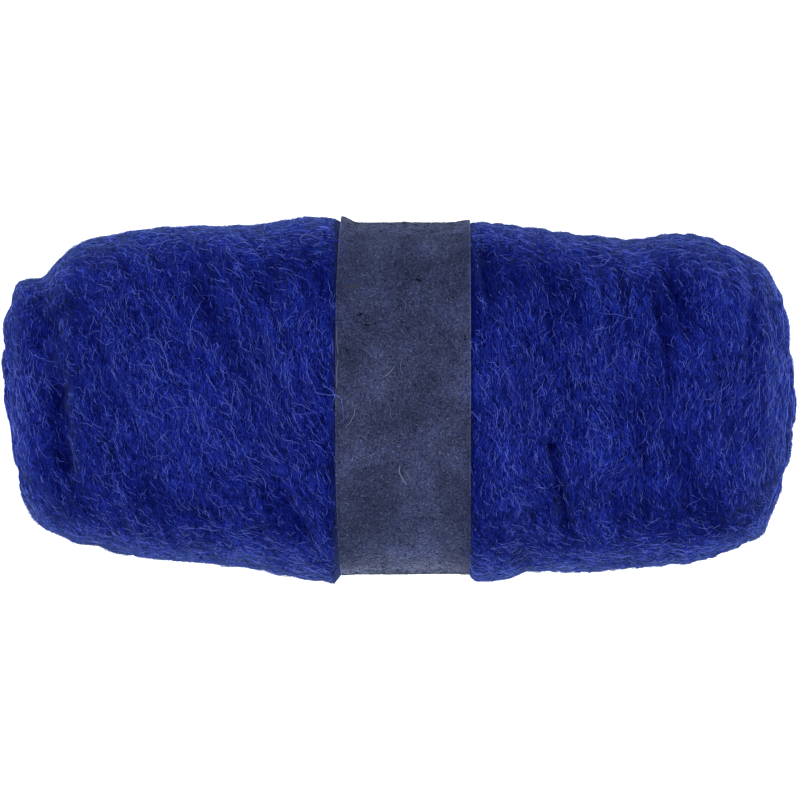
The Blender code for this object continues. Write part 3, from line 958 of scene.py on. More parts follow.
def fibre_paths(rng, row, column, length, steps, own, bend, wander, rows=ALL_ROWS):
    """Paths over the skin, kept between two of its rows. Each goes forward in even steps, in the way the
    fibres lie there, turned by its own angle, by a bend that changes side at each step, and by a heading that
    wanders. All angles are in degrees."""
    skin = wool_skin()
    count = len(row)
    heading = own + 180.0 * rng.integers(0, 2, count)
    turning = rng.normal(0.0, wander, count)
    places = np.empty((steps, 2, count))
    stride = length / (steps - 1)
    swing = rng.choice([-1.0, 1.0], count)
    for step in range(steps):
        places[step] = row, column
        swing = -swing
        bent = swing * bend * rng.uniform(BEND_LEAST, 1.0, count)
        way = np.radians(sample(skin["way"], row, column) + heading + bent)
        turning = TURNING_KEPT * turning + rng.normal(0.0, TURNING_NEW * wander, count)
        heading = heading + turning
        row = row + stride * np.sin(way) / sample(skin["along"], row, column)
        column = column + stride * np.cos(way) / sample(skin["around"], row, column)
        row = np.clip(row, *rows)
    row, column = places[:, 0].T, places[:, 1].T
    return sample(skin["points"], row, column), unit(sample(skin["normals"], row, column))


def row_at(x):
    """The skin's row at places along the roll, on its top."""
    return np.interp(x, wool_skin()["points"][:, SKIN_COLUMNS // 4, 0], np.arange(SKIN_ROWS + 1))


def on_top(x, y):
    """The skin's row and column under places seen from above."""
    points = wool_skin()["points"]
    margin = SKIN_COLUMNS // 40
    first, last = margin, SKIN_COLUMNS // 2 - margin
    row = row_at(x)
    beyond = points[np.round(row).astype(int)][..., first:last, 1] - y[..., None]
    passed = np.clip((beyond > 0).sum(axis=-1), 1, last - first - 1)
    before = np.take_along_axis(beyond, passed[..., None] - 1, axis=-1)[..., 0]
    after = np.take_along_axis(beyond, passed[..., None], axis=-1)[..., 0]
    return row, first + passed - 1 + before / (before - after)


def lock_fibres(rng, lock):
    """The fibres of one lock: each follows a part of its line, to one side of it, and drifts across it."""
    count = lock["count"]
    start = np.array((lock["x"], lock["y"]))
    run = np.array((lock["x_end"], lock["y_end"])) - start
    sideways = unit(np.array((run[1], -run[0])))
    begin = rng.uniform(*LOCK_START, count)
    part = rng.uniform(*LOCK_PART, count)
    part = begin[:, None] + part[:, None] * np.linspace(0.0, 1.0, LOCK_STEPS)
    drift = np.cumsum(rng.normal(0.0, LOCK_DRIFT, (count, LOCK_STEPS)), axis=1)
    aside = rng.normal(0.0, LOCK_ASIDE, count)
    away = lock["width"] * (aside[:, None] + drift)
    place = start + part[..., None] * run + away[..., None] * sideways
    row, column = on_top(place[..., 0], place[..., 1])
    tones = lock["tone"] + rng.integers(-LOCK_TONE_CHANGE, LOCK_TONE_CHANGE + 1, count)
    thickness = rng.uniform(*LOCK_THICKNESS, count)
    rise = rng.uniform(*LOCK_RISE, count)
    skin = wool_skin()
    normals = unit(sample(skin["normals"], row, column))
    return arched(sample(skin["points"], row, column), normals, thickness, rise, LOOSE_SINK, tones)


def clear_of_band(paths, tuck=0.0):
    """Which paths stay off the paper band all along, or reach in under its edge by no more than a tuck."""
    inside = (paths[..., 0] > BAND_LEFT + tuck) & (paths[..., 0] < BAND_RIGHT - tuck)
    return ~inside.any(axis=1)


def arched(paths, normals, thickness, rise, sink, tones):
    """Fibres that lie in the skin: each arches over it by its own rise, and both its ends are sunk in it."""
    t = np.linspace(0.0, 1.0, paths.shape[1])
    arch = np.sin(math.pi * t) ** ARCH_POWER
    lift = rise[:, None] * arch - sink * (1 - arch)
    paths = paths + normals * lift[..., None]
    paths[..., 2] = np.maximum(paths[..., 2], thickness.max() / 2)
    radii = thickness[:, None] / 2 * (TIP_THICKNESS + (1 - TIP_THICKNESS) * np.sin(math.pi * t))
    return tubes(paths, normals, radii, tones)


def over_paper(paths, normals, tones):
    """Loose fibres beside the band that lie over its edge: where they pass it they keep to its outer face."""
    x = paths[..., 0]
    inside = smooth_step(np.minimum(x - BAND_LEFT, BAND_RIGHT - x) / CROSSING_CLIMB + 1.0)
    lift = CROSSING_LIFT + (PAPER_OUT + PAPER_FLARE) * inside
    radii = np.full(x.shape, CROSSING_RADIUS)
    return tubes(paths + normals * lift[..., None], normals, radii, tones)


def tones_for(rng, row, column, middle, spread):
    """A tone for each fibre: random about the middle one, and deeper in soft dark patches. Painted shade
    makes it deeper in creases, hollows and other shaded parts, and a painted sheen makes it paler toward the
    rims and the ends. A few are of a rare tone, and most along the rims take a paler, greyer tone, also a
    painted sheen."""
    count = len(row)
    skin = wool_skin()
    places = sample(skin["points"], row, column)
    degrees = sample_degrees(column)
    level = middle + spread * sum(part * rng.normal(0.0, 1.0, count) for part in TONE_SPREADS)
    level = level + TONE_PATCH * lattice_noise(places, TONE_PATCH_SIZE, TONE_PATCH_SEED)
    # Painted shade: deeper in creases, hollows, low streaks, beside the band and on the shoulders
    level = level - TONE_SHADE * sample(skin["depth"], row, column)
    # Painted sheen: paler toward the rims and toward the roll's two ends, where its outline is seen edge-on
    level = level + TONE_RIM_SHEEN * smooth_step((from_top(degrees) - TONE_RIM_START_DEG) / TONE_RIM_FADE_DEG)
    level = level + TONE_END_SHEEN * smooth_step((np.abs(places[..., 0]) - TONE_END_START) / TONE_END_FADE)
    tones = np.clip(np.round(level), 0, PALEST_TONE).astype(int)
    chance = rng.uniform(0.0, 1.0, count)
    for tone, share in RARE_TONES:
        tones = np.where((chance > 0) & (chance < share), tone, tones)
        chance = chance - share
    # Painted sheen: most fibres along the rims take the paler, greyer tone
    rim_sheen = rng.uniform(0.0, 1.0, count) < RIM_SHEEN_SHARE * at_rim(degrees)
    return np.where((tones > RIM_SHEEN_ABOVE) & rim_sheen, RIM_SHEEN_TONE, tones)


def sample_degrees(column):
    """Degrees round the roll at a place between the skin's columns."""
    return column * 360.0 / SKIN_COLUMNS % 360.0


def laid_fibres(rng, row, column, layer, rows):
    """One layer of fibres laid over the skin from places on it, most of them turned a little off the way of
    the skin and some far off it. The few that reach too far in under the band are left out."""
    count = len(row)
    length = rng.uniform(layer["shortest"], layer["longest"], count)
    rim = smooth_step((from_top(sample_degrees(column)) - LAID_TURN_START_DEG) / LAID_TURN_FADE_DEG)
    turn = (LAID_TURN + LAID_TURN_RIM * rim) * rng.choice(LAID_TURN_FACTORS, count, p=LAID_TURN_SHARES)
    own = turn * rng.normal(0.0, 1.0, count)
    tones = tones_for(rng, row, column, layer["tone"], layer["tone_spread"])
    steps, wander = layer["steps"], layer["wander"]
    paths, normals = fibre_paths(rng, row, column, length, steps, own, LAID_BEND, wander, rows)
    clear = clear_of_band(paths, EDGE_TUCK)
    thickness = layer["thickness"] * rng.uniform(*LAID_THICKNESS, clear.sum())
    rise = rng.uniform(LAID_LEAST_RISE, layer["rise"], clear.sum())
    return arched(paths[clear], normals[clear], thickness, rise, LAID_SINK, tones[clear])


def loose_fibres(rng, row, column, values):
    """Loose fibres from places on the skin: the paths, normals and tones of all of them, which are clear of
    the band, and how thick those are."""
    kind = dict(zip(LOOSE_COLUMNS, values))
    count = len(row)
    length = rng.uniform(kind["shortest"], kind["longest"], count)
    tones = tones_for(rng, row, column, kind["tone"], kind["tone_spread"])
    own = rng.normal(0.0, kind["turn"], count)
    paths, normals = fibre_paths(rng, row, column, length, kind["steps"], own, kind["bend"], kind["wander"])
    clear = clear_of_band(paths)
    thickness = rng.uniform(kind["thinnest"], kind["thickest"], clear.sum())
    return paths, normals, tones, clear, thickness


def shader_of(material):
    """The material's own shader."""
    return material.node_tree.nodes["Principled BSDF"]


def new_material(name, roughness, specular=0.0):
    """A material with one shader, matt unless it is told otherwise."""
    made = bpy.data.materials.new(name)
    made.use_nodes = True
    shader = shader_of(made)
    shader.inputs["Roughness"].default_value = roughness
    shader.inputs["Specular IOR Level"].default_value = specular
    return made


def put(material, socket, value):
    """Gives a socket its value, or a link from another node's output."""
    if isinstance(value, bpy.types.NodeSocket):
        material.node_tree.links.new(value, socket)
    else:
        socket.default_value = value


def add_node(material, kind, **values):
    """A shader node with its settings, or its inputs where a setting of that name isn't there."""
    node = material.node_tree.nodes.new(kind)
    for name, value in values.items():
        if hasattr(node, name):
            setattr(node, name, value)
        else:
            put(material, node.inputs[name.replace("_", " ").title()], value)
    return node


def mixed(material, first, second, factor=1.0, blend="MULTIPLY"):
    """Two colours mixed by a factor; unless it is told otherwise, one times the other."""
    node = add_node(material, "ShaderNodeMix", data_type="RGBA", blend_type=blend, factor=factor)
    put(material, node.inputs["A"], first)
    put(material, node.inputs["B"], second)
    return node.outputs["Result"]


def map_place(material):
    """The surface's place on its map."""
    return add_node(material, "ShaderNodeUVMap", uv_map=MAP_NAME).outputs["UV"]


def map_parts(material):
    """The surface's place on its map, as a value across and one up."""
    node = add_node(material, "ShaderNodeSeparateXYZ")
    put(material, node.inputs["Vector"], map_place(material))
    return node.outputs["X"], node.outputs["Y"]


def mapped(material, place, scale, turn=0.0):
    """A place that is scaled, then turned by degrees in the plane of the map."""
    turned = (0.0, 0.0, math.radians(turn))
    node = add_node(material, "ShaderNodeMapping", vector=place, scale=scale, rotation=turned)
    return node.outputs["Vector"]


def noise(material, place, **values):
    """Soft random values from 0 to 1 over places."""
    return add_node(material, "ShaderNodeTexNoise", vector=place, **values).outputs["Fac"]


def grey(shade):
    """A colour with as much red as green and blue."""
    return (shade, shade, shade)


def middle_line(width, plain, strength):
    """Stops for the thin line where a noise passes its middle value, between plain parts."""
    return [(0.5 - width, grey(plain)), (0.5, grey(strength)), (0.5 + width, grey(plain))]


def ramp(material, value, stops, interpolation="LINEAR"):
    """The colour for a value, on a colour ramp with a list of (place, colour)."""
    node = add_node(material, "ShaderNodeValToRGB", fac=value)
    node.color_ramp.interpolation = interpolation
    elements = node.color_ramp.elements
    while len(elements) > 1:
        elements.remove(elements[-1])
    elements[0].position = stops[0][0]
    elements[0].color = (*stops[0][1], 1.0)
    for place, colour in stops[1:]:
        element = elements.new(place)
        element.color = (*colour, 1.0)
    return node.outputs["Color"]


def add_bump(material, height, strength, distance):
    """Lets a value from 0 to 1 stand up from the surface, by up to a distance in metres."""
    node = add_node(material, "ShaderNodeBump", strength=strength, distance=distance)
    put(material, node.inputs["Height"], height)
    put(material, shader_of(material).inputs["Normal"], node.outputs["Normal"])


def palette_material(name, palette, end_shade):
    """Fibres whose tone comes from their column of the map, with painted shade that makes the ends a little
    darker where they sink in.
    """
    made = new_material(name, FIBRE_ROUGHNESS)
    across, up = map_parts(made)
    tones = [(index / len(palette), tone) for index, tone in enumerate(palette)]
    # Painted shade at both ends of each fibre, where it sinks in
    ends = [(0.0, grey(end_shade)), (0.3, grey(1.0)), (0.7, grey(1.0)), (1.0, grey(end_shade))]
    colour = mixed(made, ramp(made, across, tones, "CONSTANT"), ramp(made, up, ends))
    put(made, shader_of(made).inputs["Base Color"], colour)
    return made


def skin_material(settings):
    """Matted wool between the fibres: deep blue, which also paints the shade in the gaps between them, with
    fine lighter streaks that lie the fibres' way and thin strands, which are the middle lines of twisted
    noises, soft blotches where the dye took more or less, painted shade in its depths, and a fibrous bump."""
    made = new_material("matted wool", SKIN_ROUGHNESS)
    for name, value in SKIN_SHEEN.items():
        put(made, shader_of(made).inputs[name], value)
    flat = mapped(made, map_place(made), SKIN_MAP_SIZE)
    streak_place = mapped(made, flat, SKIN_STREAK_SCALE, SKIN_STREAK_TURN)
    streaks = noise(made, streak_place, scale=1.0, detail=4.0, roughness=0.6, distortion=1.2)
    # Deep blue streaks whose darkest parts are painted shade in the gaps between fibres
    colour = ramp(made, streaks, [SKIN_GAP_SHADE, (0.5, tuple(settings.base_colour)), SKIN_PALE])
    for row in SKIN_STRANDS:
        strand = dict(zip(SKIN_STRAND_COLUMNS, row))
        place = mapped(made, flat, (strand["across"], strand["along"], 1.0), strand["turn"])
        level = noise(made, place, scale=1.0, detail=1.0, roughness=0.5, distortion=strand["twist"])
        line = ramp(made, level, middle_line(SKIN_STRAND_WIDTH, 0.0, 1.0))
        colour = mixed(made, colour, (*SKIN_STRAND_TONE, 1.0), line, "MIX")
    place = add_node(made, "ShaderNodeTexCoord").outputs["Object"]
    blotch = noise(made, place, scale=SKIN_BLOTCH_SCALE, detail=2.0, roughness=0.5)
    colour = mixed(made, colour, ramp(made, blotch, SKIN_BLOTCHES))
    # Painted shade: the skin's colour is darkened by its depth attribute, in creases, hollows, low streaks,
    # beside the band and on the shoulders
    depth = add_node(made, "ShaderNodeAttribute", attribute_name=PAINTED_SHADE_ATTRIBUTE).outputs["Fac"]
    part = add_node(made, "ShaderNodeMath", operation="DIVIDE")
    put(made, part.inputs[0], depth)
    put(made, part.inputs[1], SKIN_SHADE_DEEPEST)
    colour = mixed(made, colour, ramp(made, part.outputs[0], SKIN_SHADES))
    put(made, shader_of(made).inputs["Base Color"], colour)
    add_bump(made, streaks, *SKIN_BUMP)
    return made


def paper_material(settings):
    """Handmade paper: mottled slate, a fine grain, and thin pale fibres that wander every way, which are the
    middle lines of twisted noises. Along the strip it has painted light and shade: lighter on top, where it
    is also rubbed, darker on the slopes either side and lighter at the rims, painted highlights. Its two cut
    edges are pale."""
    made = new_material("handmade paper", PAPER_ROUGHNESS, PAPER_SPECULAR)
    flat = mapped(made, map_place(made), PAPER_MAP_SIZE)
    base = np.array(settings.paper_colour)
    mottle = noise(made, flat, scale=PAPER_MOTTLE_SCALE, detail=5.0, roughness=0.6)
    grain = noise(made, flat, scale=PAPER_GRAIN_SCALE, detail=4.0, roughness=0.75, distortion=1.0)
    ground = ramp(made, mottle, [(level, tuple(base * shade)) for level, shade in PAPER_GROUND])
    colour = mixed(made, ground, ramp(made, grain, PAPER_GRAIN))
    for row in PAPER_LINES:
        line = dict(zip(PAPER_LINE_COLUMNS, row))
        level = noise(made, flat, scale=line["scale"], detail=1.0, roughness=0.5, distortion=line["twist"])
        stops = middle_line(PAPER_LINE_WIDTH, 1.0, line["strength"])
        colour = mixed(made, colour, ramp(made, level, stops))
    along, across = map_parts(made)
    # Painted light and shade along the strip, with the top also rubbed paler
    colour = mixed(made, colour, ramp(made, along, PAPER_WEAR_AND_LIGHT))
    cut, plain = grey(PAPER_CUT_SHADE), grey(1.0)
    outer_end, inner_end = 0.5 - PAPER_EDGE_V, 1.0 - PAPER_EDGE_V
    edges = [
        (0.0, cut),
        (PAPER_CUT_WIDTH, plain),
        (outer_end - PAPER_CUT_WIDTH, plain),
        (outer_end, cut),
        (0.5, cut),
        (0.5 + PAPER_CUT_WIDTH, plain),
        (inner_end - PAPER_INNER_CUT_WIDTH, plain),
        (inner_end, cut),
    ]
    colour = mixed(made, colour, ramp(made, across, edges))
    put(made, shader_of(made).inputs["Base Color"], colour)
    add_bump(made, grain, *PAPER_BUMP)
    return made


def paper_face(across, along):
    """A point of the band's outer face, from 0 to 1 across the strip and along it. The strip goes round the
    waist, its last part lies on its start, and its edges curl out a little, most on the far side."""
    turned = along * (360.0 + PAPER_LAP_DEG)
    degrees = PAPER_START_DEG + turned
    x = BAND_LEFT + (BAND_RIGHT - BAND_LEFT) * across
    x = x + bow(x, degrees)
    lapped = smooth_step((turned - 360.0 + PAPER_RAMP_DEG) / (PAPER_RAMP_DEG - PAPER_RAMP_END_DEG))
    from_edge = np.minimum(across, 1.0 - across) * (BAND_RIGHT - BAND_LEFT)
    flare = PAPER_FLARE * (1.0 - smooth_step(from_edge / PAPER_FLARE_WIDTH))
    far_side = np.maximum(0.0, np.cos(np.radians(degrees))) ** 2
    flare = flare * (PAPER_FLARE_LEAST + (1.0 - PAPER_FLARE_LEAST) * far_side)
    corner = 1.0 - smooth_step(across * (BAND_RIGHT - BAND_LEFT) / PAPER_CORNER_WIDTH)
    corner = PAPER_CORNER_LIFT * corner * far_side**4
    out = PAPER_OUT + PAPER_LAP_STEP * lapped + flare + corner
    y, z = section_point(WAIST_FAR, WAIST_NEAR, WAIST_MIDDLE, degrees, out)
    return np.stack([x, y, np.maximum(z, PAPER_THICKNESS + PAPER_CLEARANCE)], axis=-1)


@functools.lru_cache(maxsize=1)
def paper_strip():
    """The strip's outer and inner face and the outer one's normals, as grids along it and across it, and its
    length along the middle. Both faces rise and fall a little in soft waves."""
    steps = np.linspace(0.0, 1.0, PAPER_ROWS + 1), np.linspace(0.0, 1.0, PAPER_COLUMNS + 1)
    along, across = np.meshgrid(*steps, indexing="ij")
    outer = paper_face(across, along)
    normals = unit(np.cross(np.gradient(outer, axis=0), np.gradient(outer, axis=1)))
    inward = outer.mean(axis=(0, 1)) - outer
    normals *= -np.sign((normals * inward).sum(axis=-1).mean())
    wave = sum(height * lattice_noise(outer, size, seed) for size, height, seed in PAPER_WAVES)
    outer = outer + normals * wave[..., None]
    outer[..., 2] = np.maximum(outer[..., 2], PAPER_THICKNESS + PAPER_CLEARANCE)
    middle = outer[:, PAPER_COLUMNS // 2]
    return {
        "outer": outer,
        "inner": outer - normals * PAPER_THICKNESS,
        "normals": normals,
        "length": np.linalg.norm(np.diff(middle, axis=0), axis=1).sum(),
    }


def paper_mesh(name, finish):
    """The strip as one closed mesh: its cross section is a loop over the outer face and back along the inner
    one, carried along the strip, with a row of quads closing each end."""
    strip = paper_strip()
    loop = np.concatenate([strip["outer"], strip["inner"][:, ::-1]], axis=1)
    rows, count = loop.shape[:2]
    row = np.arange(rows - 1)[:, None] * count
    column = np.arange(count)
    following = (column + 1) % count
    quads = np.stack(
        [row + column, row + following, row + count + following, row + count + column], axis=-1
    )
    margin = PAPER_MAP_MARGIN
    wide = (1 - 2 * margin) / (rows - 1)
    u = margin + np.arange(rows - 1)[:, None] * wide
    face_v = np.linspace(0.0, 0.5 - PAPER_EDGE_V, PAPER_COLUMNS + 1)
    loop_v = np.concatenate([face_v, face_v + 0.5, [1.0]])
    v, next_v = loop_v[:-1], loop_v[1:]
    side_map = corner_map([(u, v), (u, next_v), (u + wide, next_v), (u + wide, v)])
    half = count // 2
    step = np.arange(half - 1)
    start = np.stack([step, count - 1 - step, count - 2 - step, step + 1], axis=-1)
    end = start[:, ::-1] + (rows - 1) * count
    cap_v, next_cap_v = step / half, (step + 1) / half
    outer_u, inner_u = 0.8 * margin, 0.2 * margin
    cap = corner_map([(outer_u, cap_v), (inner_u, cap_v), (inner_u, next_cap_v), (outer_u, next_cap_v)])
    end_cap = cap[:, ::-1] + (1 - margin, 0)
    faces = np.concatenate([quads.reshape(-1, 4), start, end])
    maps = np.concatenate([side_map.reshape(-1, 4, 2), cap, end_cap])
    return mesh_object(name, loop.reshape(-1, 3), [faces], [maps], finish)


def strip_row(y):
    """The row of the strip's grid that lies at a place across the roll, on its top."""
    outer = paper_strip()["outer"][:, PAPER_COLUMNS // 2]
    top = np.flatnonzero(outer[:, 2] > WAIST_MIDDLE)
    return np.interp(-y, -outer[top, 1], top)


def paper_fibres(rng, along, across, way, curl, length, thickness, tones, steps):
    """Fibres that lie half sunk in the strip's outer face. They start at rows and columns of its grid, and
    their way is in degrees: 0 is to the right across the strip and 90 is forward along it."""
    strip = paper_strip()
    wander = rng.normal(0.0, FLECK_WANDER, (len(along), steps))
    angle = np.radians(way[:, None] + curl[:, None] * np.arange(steps) + wander)
    run = length[:, None] / (steps - 1)
    run_along = np.cumsum(run * np.sin(angle), axis=1)
    run_across = np.cumsum(run * np.cos(angle), axis=1)
    row = along[:, None] + run_along / strip["length"] * PAPER_ROWS
    column = across[:, None] + run_across / (BAND_RIGHT - BAND_LEFT) * PAPER_COLUMNS
    column = np.clip(column, FLECK_EDGE, PAPER_COLUMNS - FLECK_EDGE)
    normals = unit(sample(strip["normals"], row, column))
    paths = sample(strip["outer"], row, column) + normals * (FLECK_LIFT * thickness)[:, None, None]
    radii = thickness[:, None] / 2 * np.ones(steps)
    return tubes(paths, normals, radii, tones, PAPER_TONES)


def add_area_light(name, place, size, power):
    """A square light that faces the middle of the roll."""
    data = bpy.data.lights.new(name, "AREA")
    data.shape = "SQUARE"
    data.size = size
    data.energy = power
    light = bpy.data.objects.new(name, data)
    light.location = place
    away = np.array(place) - np.array((0.0, 0.0, OUTLINE_HEIGHT))
    tilt = math.acos(away[2] / np.linalg.norm(away))
    light.rotation_euler = (tilt, 0.0, math.atan2(away[0], -away[1]))
    bpy.context.scene.collection.objects.link(light)
    return light


class WoolSettings(PropertyGroup):
    """What a user would change in the wool."""

    # The matted wool's deep blue, darker than most fibres, which also paints the shade in the gaps between
    # them
    base_colour: FloatVectorProperty(
        name="Wool colour",
        description="Colour of the matted wool",
        subtype="COLOR",
        default=(0.0004, 0.0014, 0.060),
    )
    density: FloatProperty(
        name="Density",
        description="How many laid fibres there are, 1 being the usual",
        default=1.0,
        min=0.05,
        max=1.1,
    )
    strays: IntProperty(
        name="Strays",
        description="Number of long loose fibres",
        default=650,
        min=1,
    )
    flyaways: IntProperty(
        name="Flyaways",
        description="Number of short fibres that stand up",
        default=6000,
        min=1,
    )


class PaperSettings(PropertyGroup):
    """What a user would change in the paper band."""

    paper_colour: FloatVectorProperty(
        name="Paper colour",
        description="Colour of the paper",
        subtype="COLOR",
        default=(0.0208, 0.0240, 0.058),
    )
    flecks: IntProperty(
        name="Flecks",
        description="Number of fibres that lie in the paper",
        default=9000,
        min=1,
    )


class StageSettings(PropertyGroup):
    """What a user would change in the stage."""

    key_power: FloatProperty(
        name="Key light",
        description="Power of the light overhead",
        default=146.0,
        unit="POWER",
    )
    side_power: FloatProperty(
        name="Side lights",
        description="Power of each side light",
        default=10.0,
        unit="POWER",
    )
    floor_glow: FloatProperty(
        name="Floor glow",
        description="Light from the floor, like a light table",
        default=0.8,
    )
    sky: FloatProperty(
        name="Surroundings",
        description="Strength of the pale surroundings",
        default=0.7,
    )


class WOOL_OT_body(Operator):
    """Make the roll's matted skin."""

    bl_idname = "wool_roll.add_body"
    bl_label = "Add matted skin"

    def execute(self, context):
        body = skin_mesh("carded_wool_body", skin_material(context.scene.wool_settings))
        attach(body, "root")
        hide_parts("wool_roll")
        return {"FINISHED"}


class WOOL_OT_fibres(Operator):
    """Lay fibres over the skin."""

    bl_idname = "wool_roll.add_fibres"
    bl_label = "Add laid fibres"

    def execute(self, context):
        density = context.scene.wool_settings.density
        finish = palette_material("dyed wool fibre", TONES, WOOL_END_SHADE)
        off_top = from_top(wool_skin()["degrees"])
        weight = 1.0 - UNDERSIDE_LESS * smooth_step((off_top - UNDERSIDE_START_DEG) / UNDERSIDE_FADE_DEG)
        for name, x_from, x_to, seed in FIBRE_PARTS:
            rng = np.random.default_rng(seed)
            area = area_between(x_from, x_to, weight).sum()
            if x_to <= BAND_LEFT:
                rows = (ALL_ROWS[0], row_at(BAND_LEFT + EDGE_TUCK))
            else:
                rows = (row_at(BAND_RIGHT - EDGE_TUCK), ALL_ROWS[1])
            sets = []
            for values in LAYERS:
                layer = dict(zip(LAYER_COLUMNS, values))
                count = int(area * layer["density"] * density)
                row, column = fibre_seeds(rng, count, x_from, x_to, weight)
                sets.append(laid_fibres(rng, row, column, layer, rows))
            fibre_object(name, sets, finish)
        return {"FINISHED"}


class WOOL_OT_strays(Operator):
    """Add long loose fibres that wander over the roll, pale locks, and short fibres that stand up."""

    bl_idname = "wool_roll.add_strays"
    bl_label = "Add stray fibres"

    def execute(self, context):
        settings = context.scene.wool_settings
        finish = bpy.data.materials["dyed wool fibre"]
        rng = np.random.default_rng(LOOSE_SEED)
        row, column = fibre_seeds(rng, settings.strays, *ROLL_REACH, 1.0)
        paths, normals, tones, clear, thickness = loose_fibres(rng, row, column, STRAYS)
        rise = rng.uniform(*STRAY_RISE, clear.sum())
        strays = arched(paths[clear], normals[clear], thickness, rise, LOOSE_SINK, tones[clear])
        inside = np.minimum(paths[..., 0] - BAND_LEFT, BAND_RIGHT - paths[..., 0]).max(axis=1)
        over = ~clear & (inside < EDGE_REACH) & (paths[..., 2].min(axis=1) > WAIST_MIDDLE)
        crossing = over_paper(paths[over], normals[over], tones[over])
        locks = [lock_fibres(rng, dict(zip(LOCK_COLUMNS, values))) for values in LOCKS]
        fibre_object("stray_fibres", [strays, crossing] + locks, finish)
        skin = wool_skin()
        end = smooth_step((np.abs(skin["points"][..., 0]) - FLYAWAY_END_START) / FLYAWAY_END_FADE)
        weight = FLYAWAY_ELSEWHERE + np.maximum(at_rim(skin["degrees"]), FLYAWAY_END * end)
        row, column = fibre_seeds(rng, settings.flyaways, *ROLL_REACH, weight)
        paths, normals, tones, clear, thickness = loose_fibres(rng, row, column, FLYAWAYS)
        rise = FLYAWAY_LEAST_RISE + rng.exponential(FLYAWAY_RISE, clear.sum())
        rise = np.minimum(rise, FLYAWAY_MOST_RISE)
        flyaways = arched(paths[clear], normals[clear], thickness, rise, LOOSE_SINK, tones[clear])
        fibre_object("flyaway_fibres", [flyaways], finish)
        return {"FINISHED"}


class WOOL_OT_paper(Operator):
    """Make the paper band."""

    bl_idname = "wool_roll.add_paper"
    bl_label = "Add paper band"

    def execute(self, context):
        band = paper_mesh("paper_strip", paper_material(context.scene.paper_settings))
        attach(band, "root")
        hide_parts("paper_band")
        flat = ((BAND_RIGHT - BAND_LEFT) * MM, paper_strip()["length"] * MM)
        return {"FINISHED"}


class WOOL_OT_flecks(Operator):
    """Lay short pale fibres, a few dark specks and some longer curved fibres in the paper's outer face."""

    bl_idname = "wool_roll.add_flecks"
    bl_label = "Add fibres in the paper"

    def execute(self, context):
        finish = palette_material("fibres in the paper", PAPER_TONES, PAPER_END_SHADE)
        rng = np.random.default_rng(FLECK_SEED)
        sets = []
        for values in PAPER_LAYERS:
            layer = dict(zip(PAPER_LAYER_COLUMNS, values))
            count = int(context.scene.paper_settings.flecks * layer["share"])
            along = rng.uniform(*FLECK_ALONG, count) * PAPER_ROWS
            across = rng.uniform(*FLECK_ACROSS, count) * PAPER_COLUMNS
            way = rng.uniform(0.0, 360.0, count)
            curl = rng.normal(0.0, layer["curl"], count)
            length = rng.uniform(layer["shortest"], layer["longest"], count)
            thickness = layer["thickness"] * rng.uniform(*FLECK_THICKNESS, count)
            tones = rng.choice(len(PAPER_TONES), count, p=layer["tones"])
            steps = layer["steps"]
            sets.append(paper_fibres(rng, along, across, way, curl, length, thickness, tones, steps))
        marks = dict(zip(PAPER_MARK_COLUMNS, np.array(PAPER_MARKS).T))
        along = strip_row(marks["y"])
        across = (marks["x"] - BAND_LEFT) / (BAND_RIGHT - BAND_LEFT) * PAPER_COLUMNS
        sets.append(
            paper_fibres(
                rng,
                along,
                across,
                -marks["way"],
                -marks["curl"],
                marks["length"],
                marks["thickness"],
                marks["tone"].astype(int),
                PAPER_MARK_STEPS,
            )
        )
        fibre_object("paper_flecks", sets, finish)
        return {"FINISHED"}


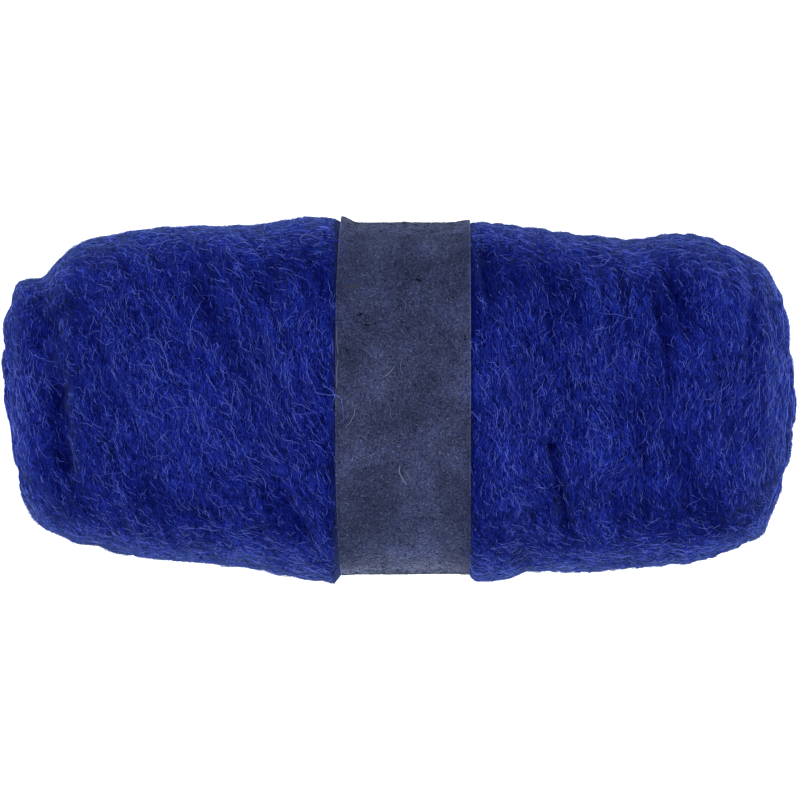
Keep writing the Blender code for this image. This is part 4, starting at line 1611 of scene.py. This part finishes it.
class WOOL_OT_stage(Operator):
    """Set up the floor, the lights and the camera over the roll."""

    bl_idname = "wool_roll.add_stage"
    bl_label = "Add stage"

    def execute(self, context):
        settings = context.scene.stage_settings
        half = FLOOR_SIZE / 2
        corners = [(-half, -half, 0), (half, -half, 0), (half, half, 0), (-half, half, 0)]
        mesh = bpy.data.meshes.new("floor")
        mesh.from_pydata(corners, [], [(0, 1, 2, 3)])
        floor = bpy.data.objects.new("floor", mesh)
        context.scene.collection.objects.link(floor)
        white = new_material("white sweep", FLOOR_ROUGHNESS, FLOOR_SPECULAR)
        put(white, shader_of(white).inputs["Base Color"], (*grey(FLOOR_SHADE), 1.0))
        put(white, shader_of(white).inputs["Emission Color"], (*grey(1.0), 1.0))
        put(white, shader_of(white).inputs["Emission Strength"], settings.floor_glow)
        mesh.materials.append(white)
        add_area_light("overhead light", (0.0, 0.0, KEY_HEIGHT), KEY_SIZE, settings.key_power)
        for side, x, y in SIDE_LIGHTS:
            place = (x * SIDE_DISTANCE, y * SIDE_DISTANCE, SIDE_HEIGHT)
            light = add_area_light(side + " side light", place, SIDE_SIZE, settings.side_power)
            light.data.color = SIDE_COLOUR
        world = bpy.data.worlds.new("pale surroundings")
        world.use_nodes = True
        background = world.node_tree.nodes["Background"]
        background.inputs["Color"].default_value = (*grey(1.0), 1.0)
        background.inputs["Strength"].default_value = settings.sky
        context.scene.world = world
        context.scene.view_settings.view_transform = "Standard"
        data = bpy.data.cameras.new("camera over the roll")
        data.sensor_width = SENSOR_WIDTH
        data.lens = SENSOR_WIDTH * (CAMERA_HEIGHT - OUTLINE_HEIGHT) / PICTURE_WIDTH
        camera = bpy.data.objects.new("camera over the roll", data)
        camera.location = (0.0, 0.0, CAMERA_HEIGHT)
        context.scene.collection.objects.link(camera)
        context.scene.camera = camera
        return {"FINISHED"}


class WOOL_PT_panel(Panel):
    """Lists the steps that make the roll, with their settings."""

    bl_label = "Carded Wool Roll"
    bl_space_type = "VIEW_3D"
    bl_region_type = "UI"
    bl_category = "Wool Roll"

    def draw(self, context):
        layout = self.layout
        scene = context.scene
        for group in (scene.wool_settings, scene.paper_settings, scene.stage_settings):
            for name in group.bl_rna.properties.keys():
                if name not in ("rna_type", "name"):
                    layout.prop(group, name)
        for step in STEPS:
            layout.operator(step.bl_idname)


STEPS = (WOOL_OT_body, WOOL_OT_fibres, WOOL_OT_strays, WOOL_OT_paper, WOOL_OT_flecks, WOOL_OT_stage)
GROUPS = {"wool_settings": WoolSettings, "paper_settings": PaperSettings, "stage_settings": StageSettings}


def register():
    for kind in (*GROUPS.values(), *STEPS, WOOL_PT_panel):
        bpy.utils.register_class(kind)
    for name, kind in GROUPS.items():
        setattr(bpy.types.Scene, name, PointerProperty(type=kind))


def unregister():
    for name in GROUPS:
        delattr(bpy.types.Scene, name)
    for kind in reversed((*GROUPS.values(), *STEPS, WOOL_PT_panel)):
        bpy.utils.unregister_class(kind)


def main():
    """Makes the whole object in order."""
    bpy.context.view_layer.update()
    register()
    bpy.ops.wool_roll.add_body()
    bpy.ops.wool_roll.add_fibres()
    bpy.ops.wool_roll.add_strays()
    bpy.ops.wool_roll.add_paper()
    bpy.ops.wool_roll.add_flecks()
    bpy.ops.wool_roll.add_stage()


if __name__ == "__main__":
    main()
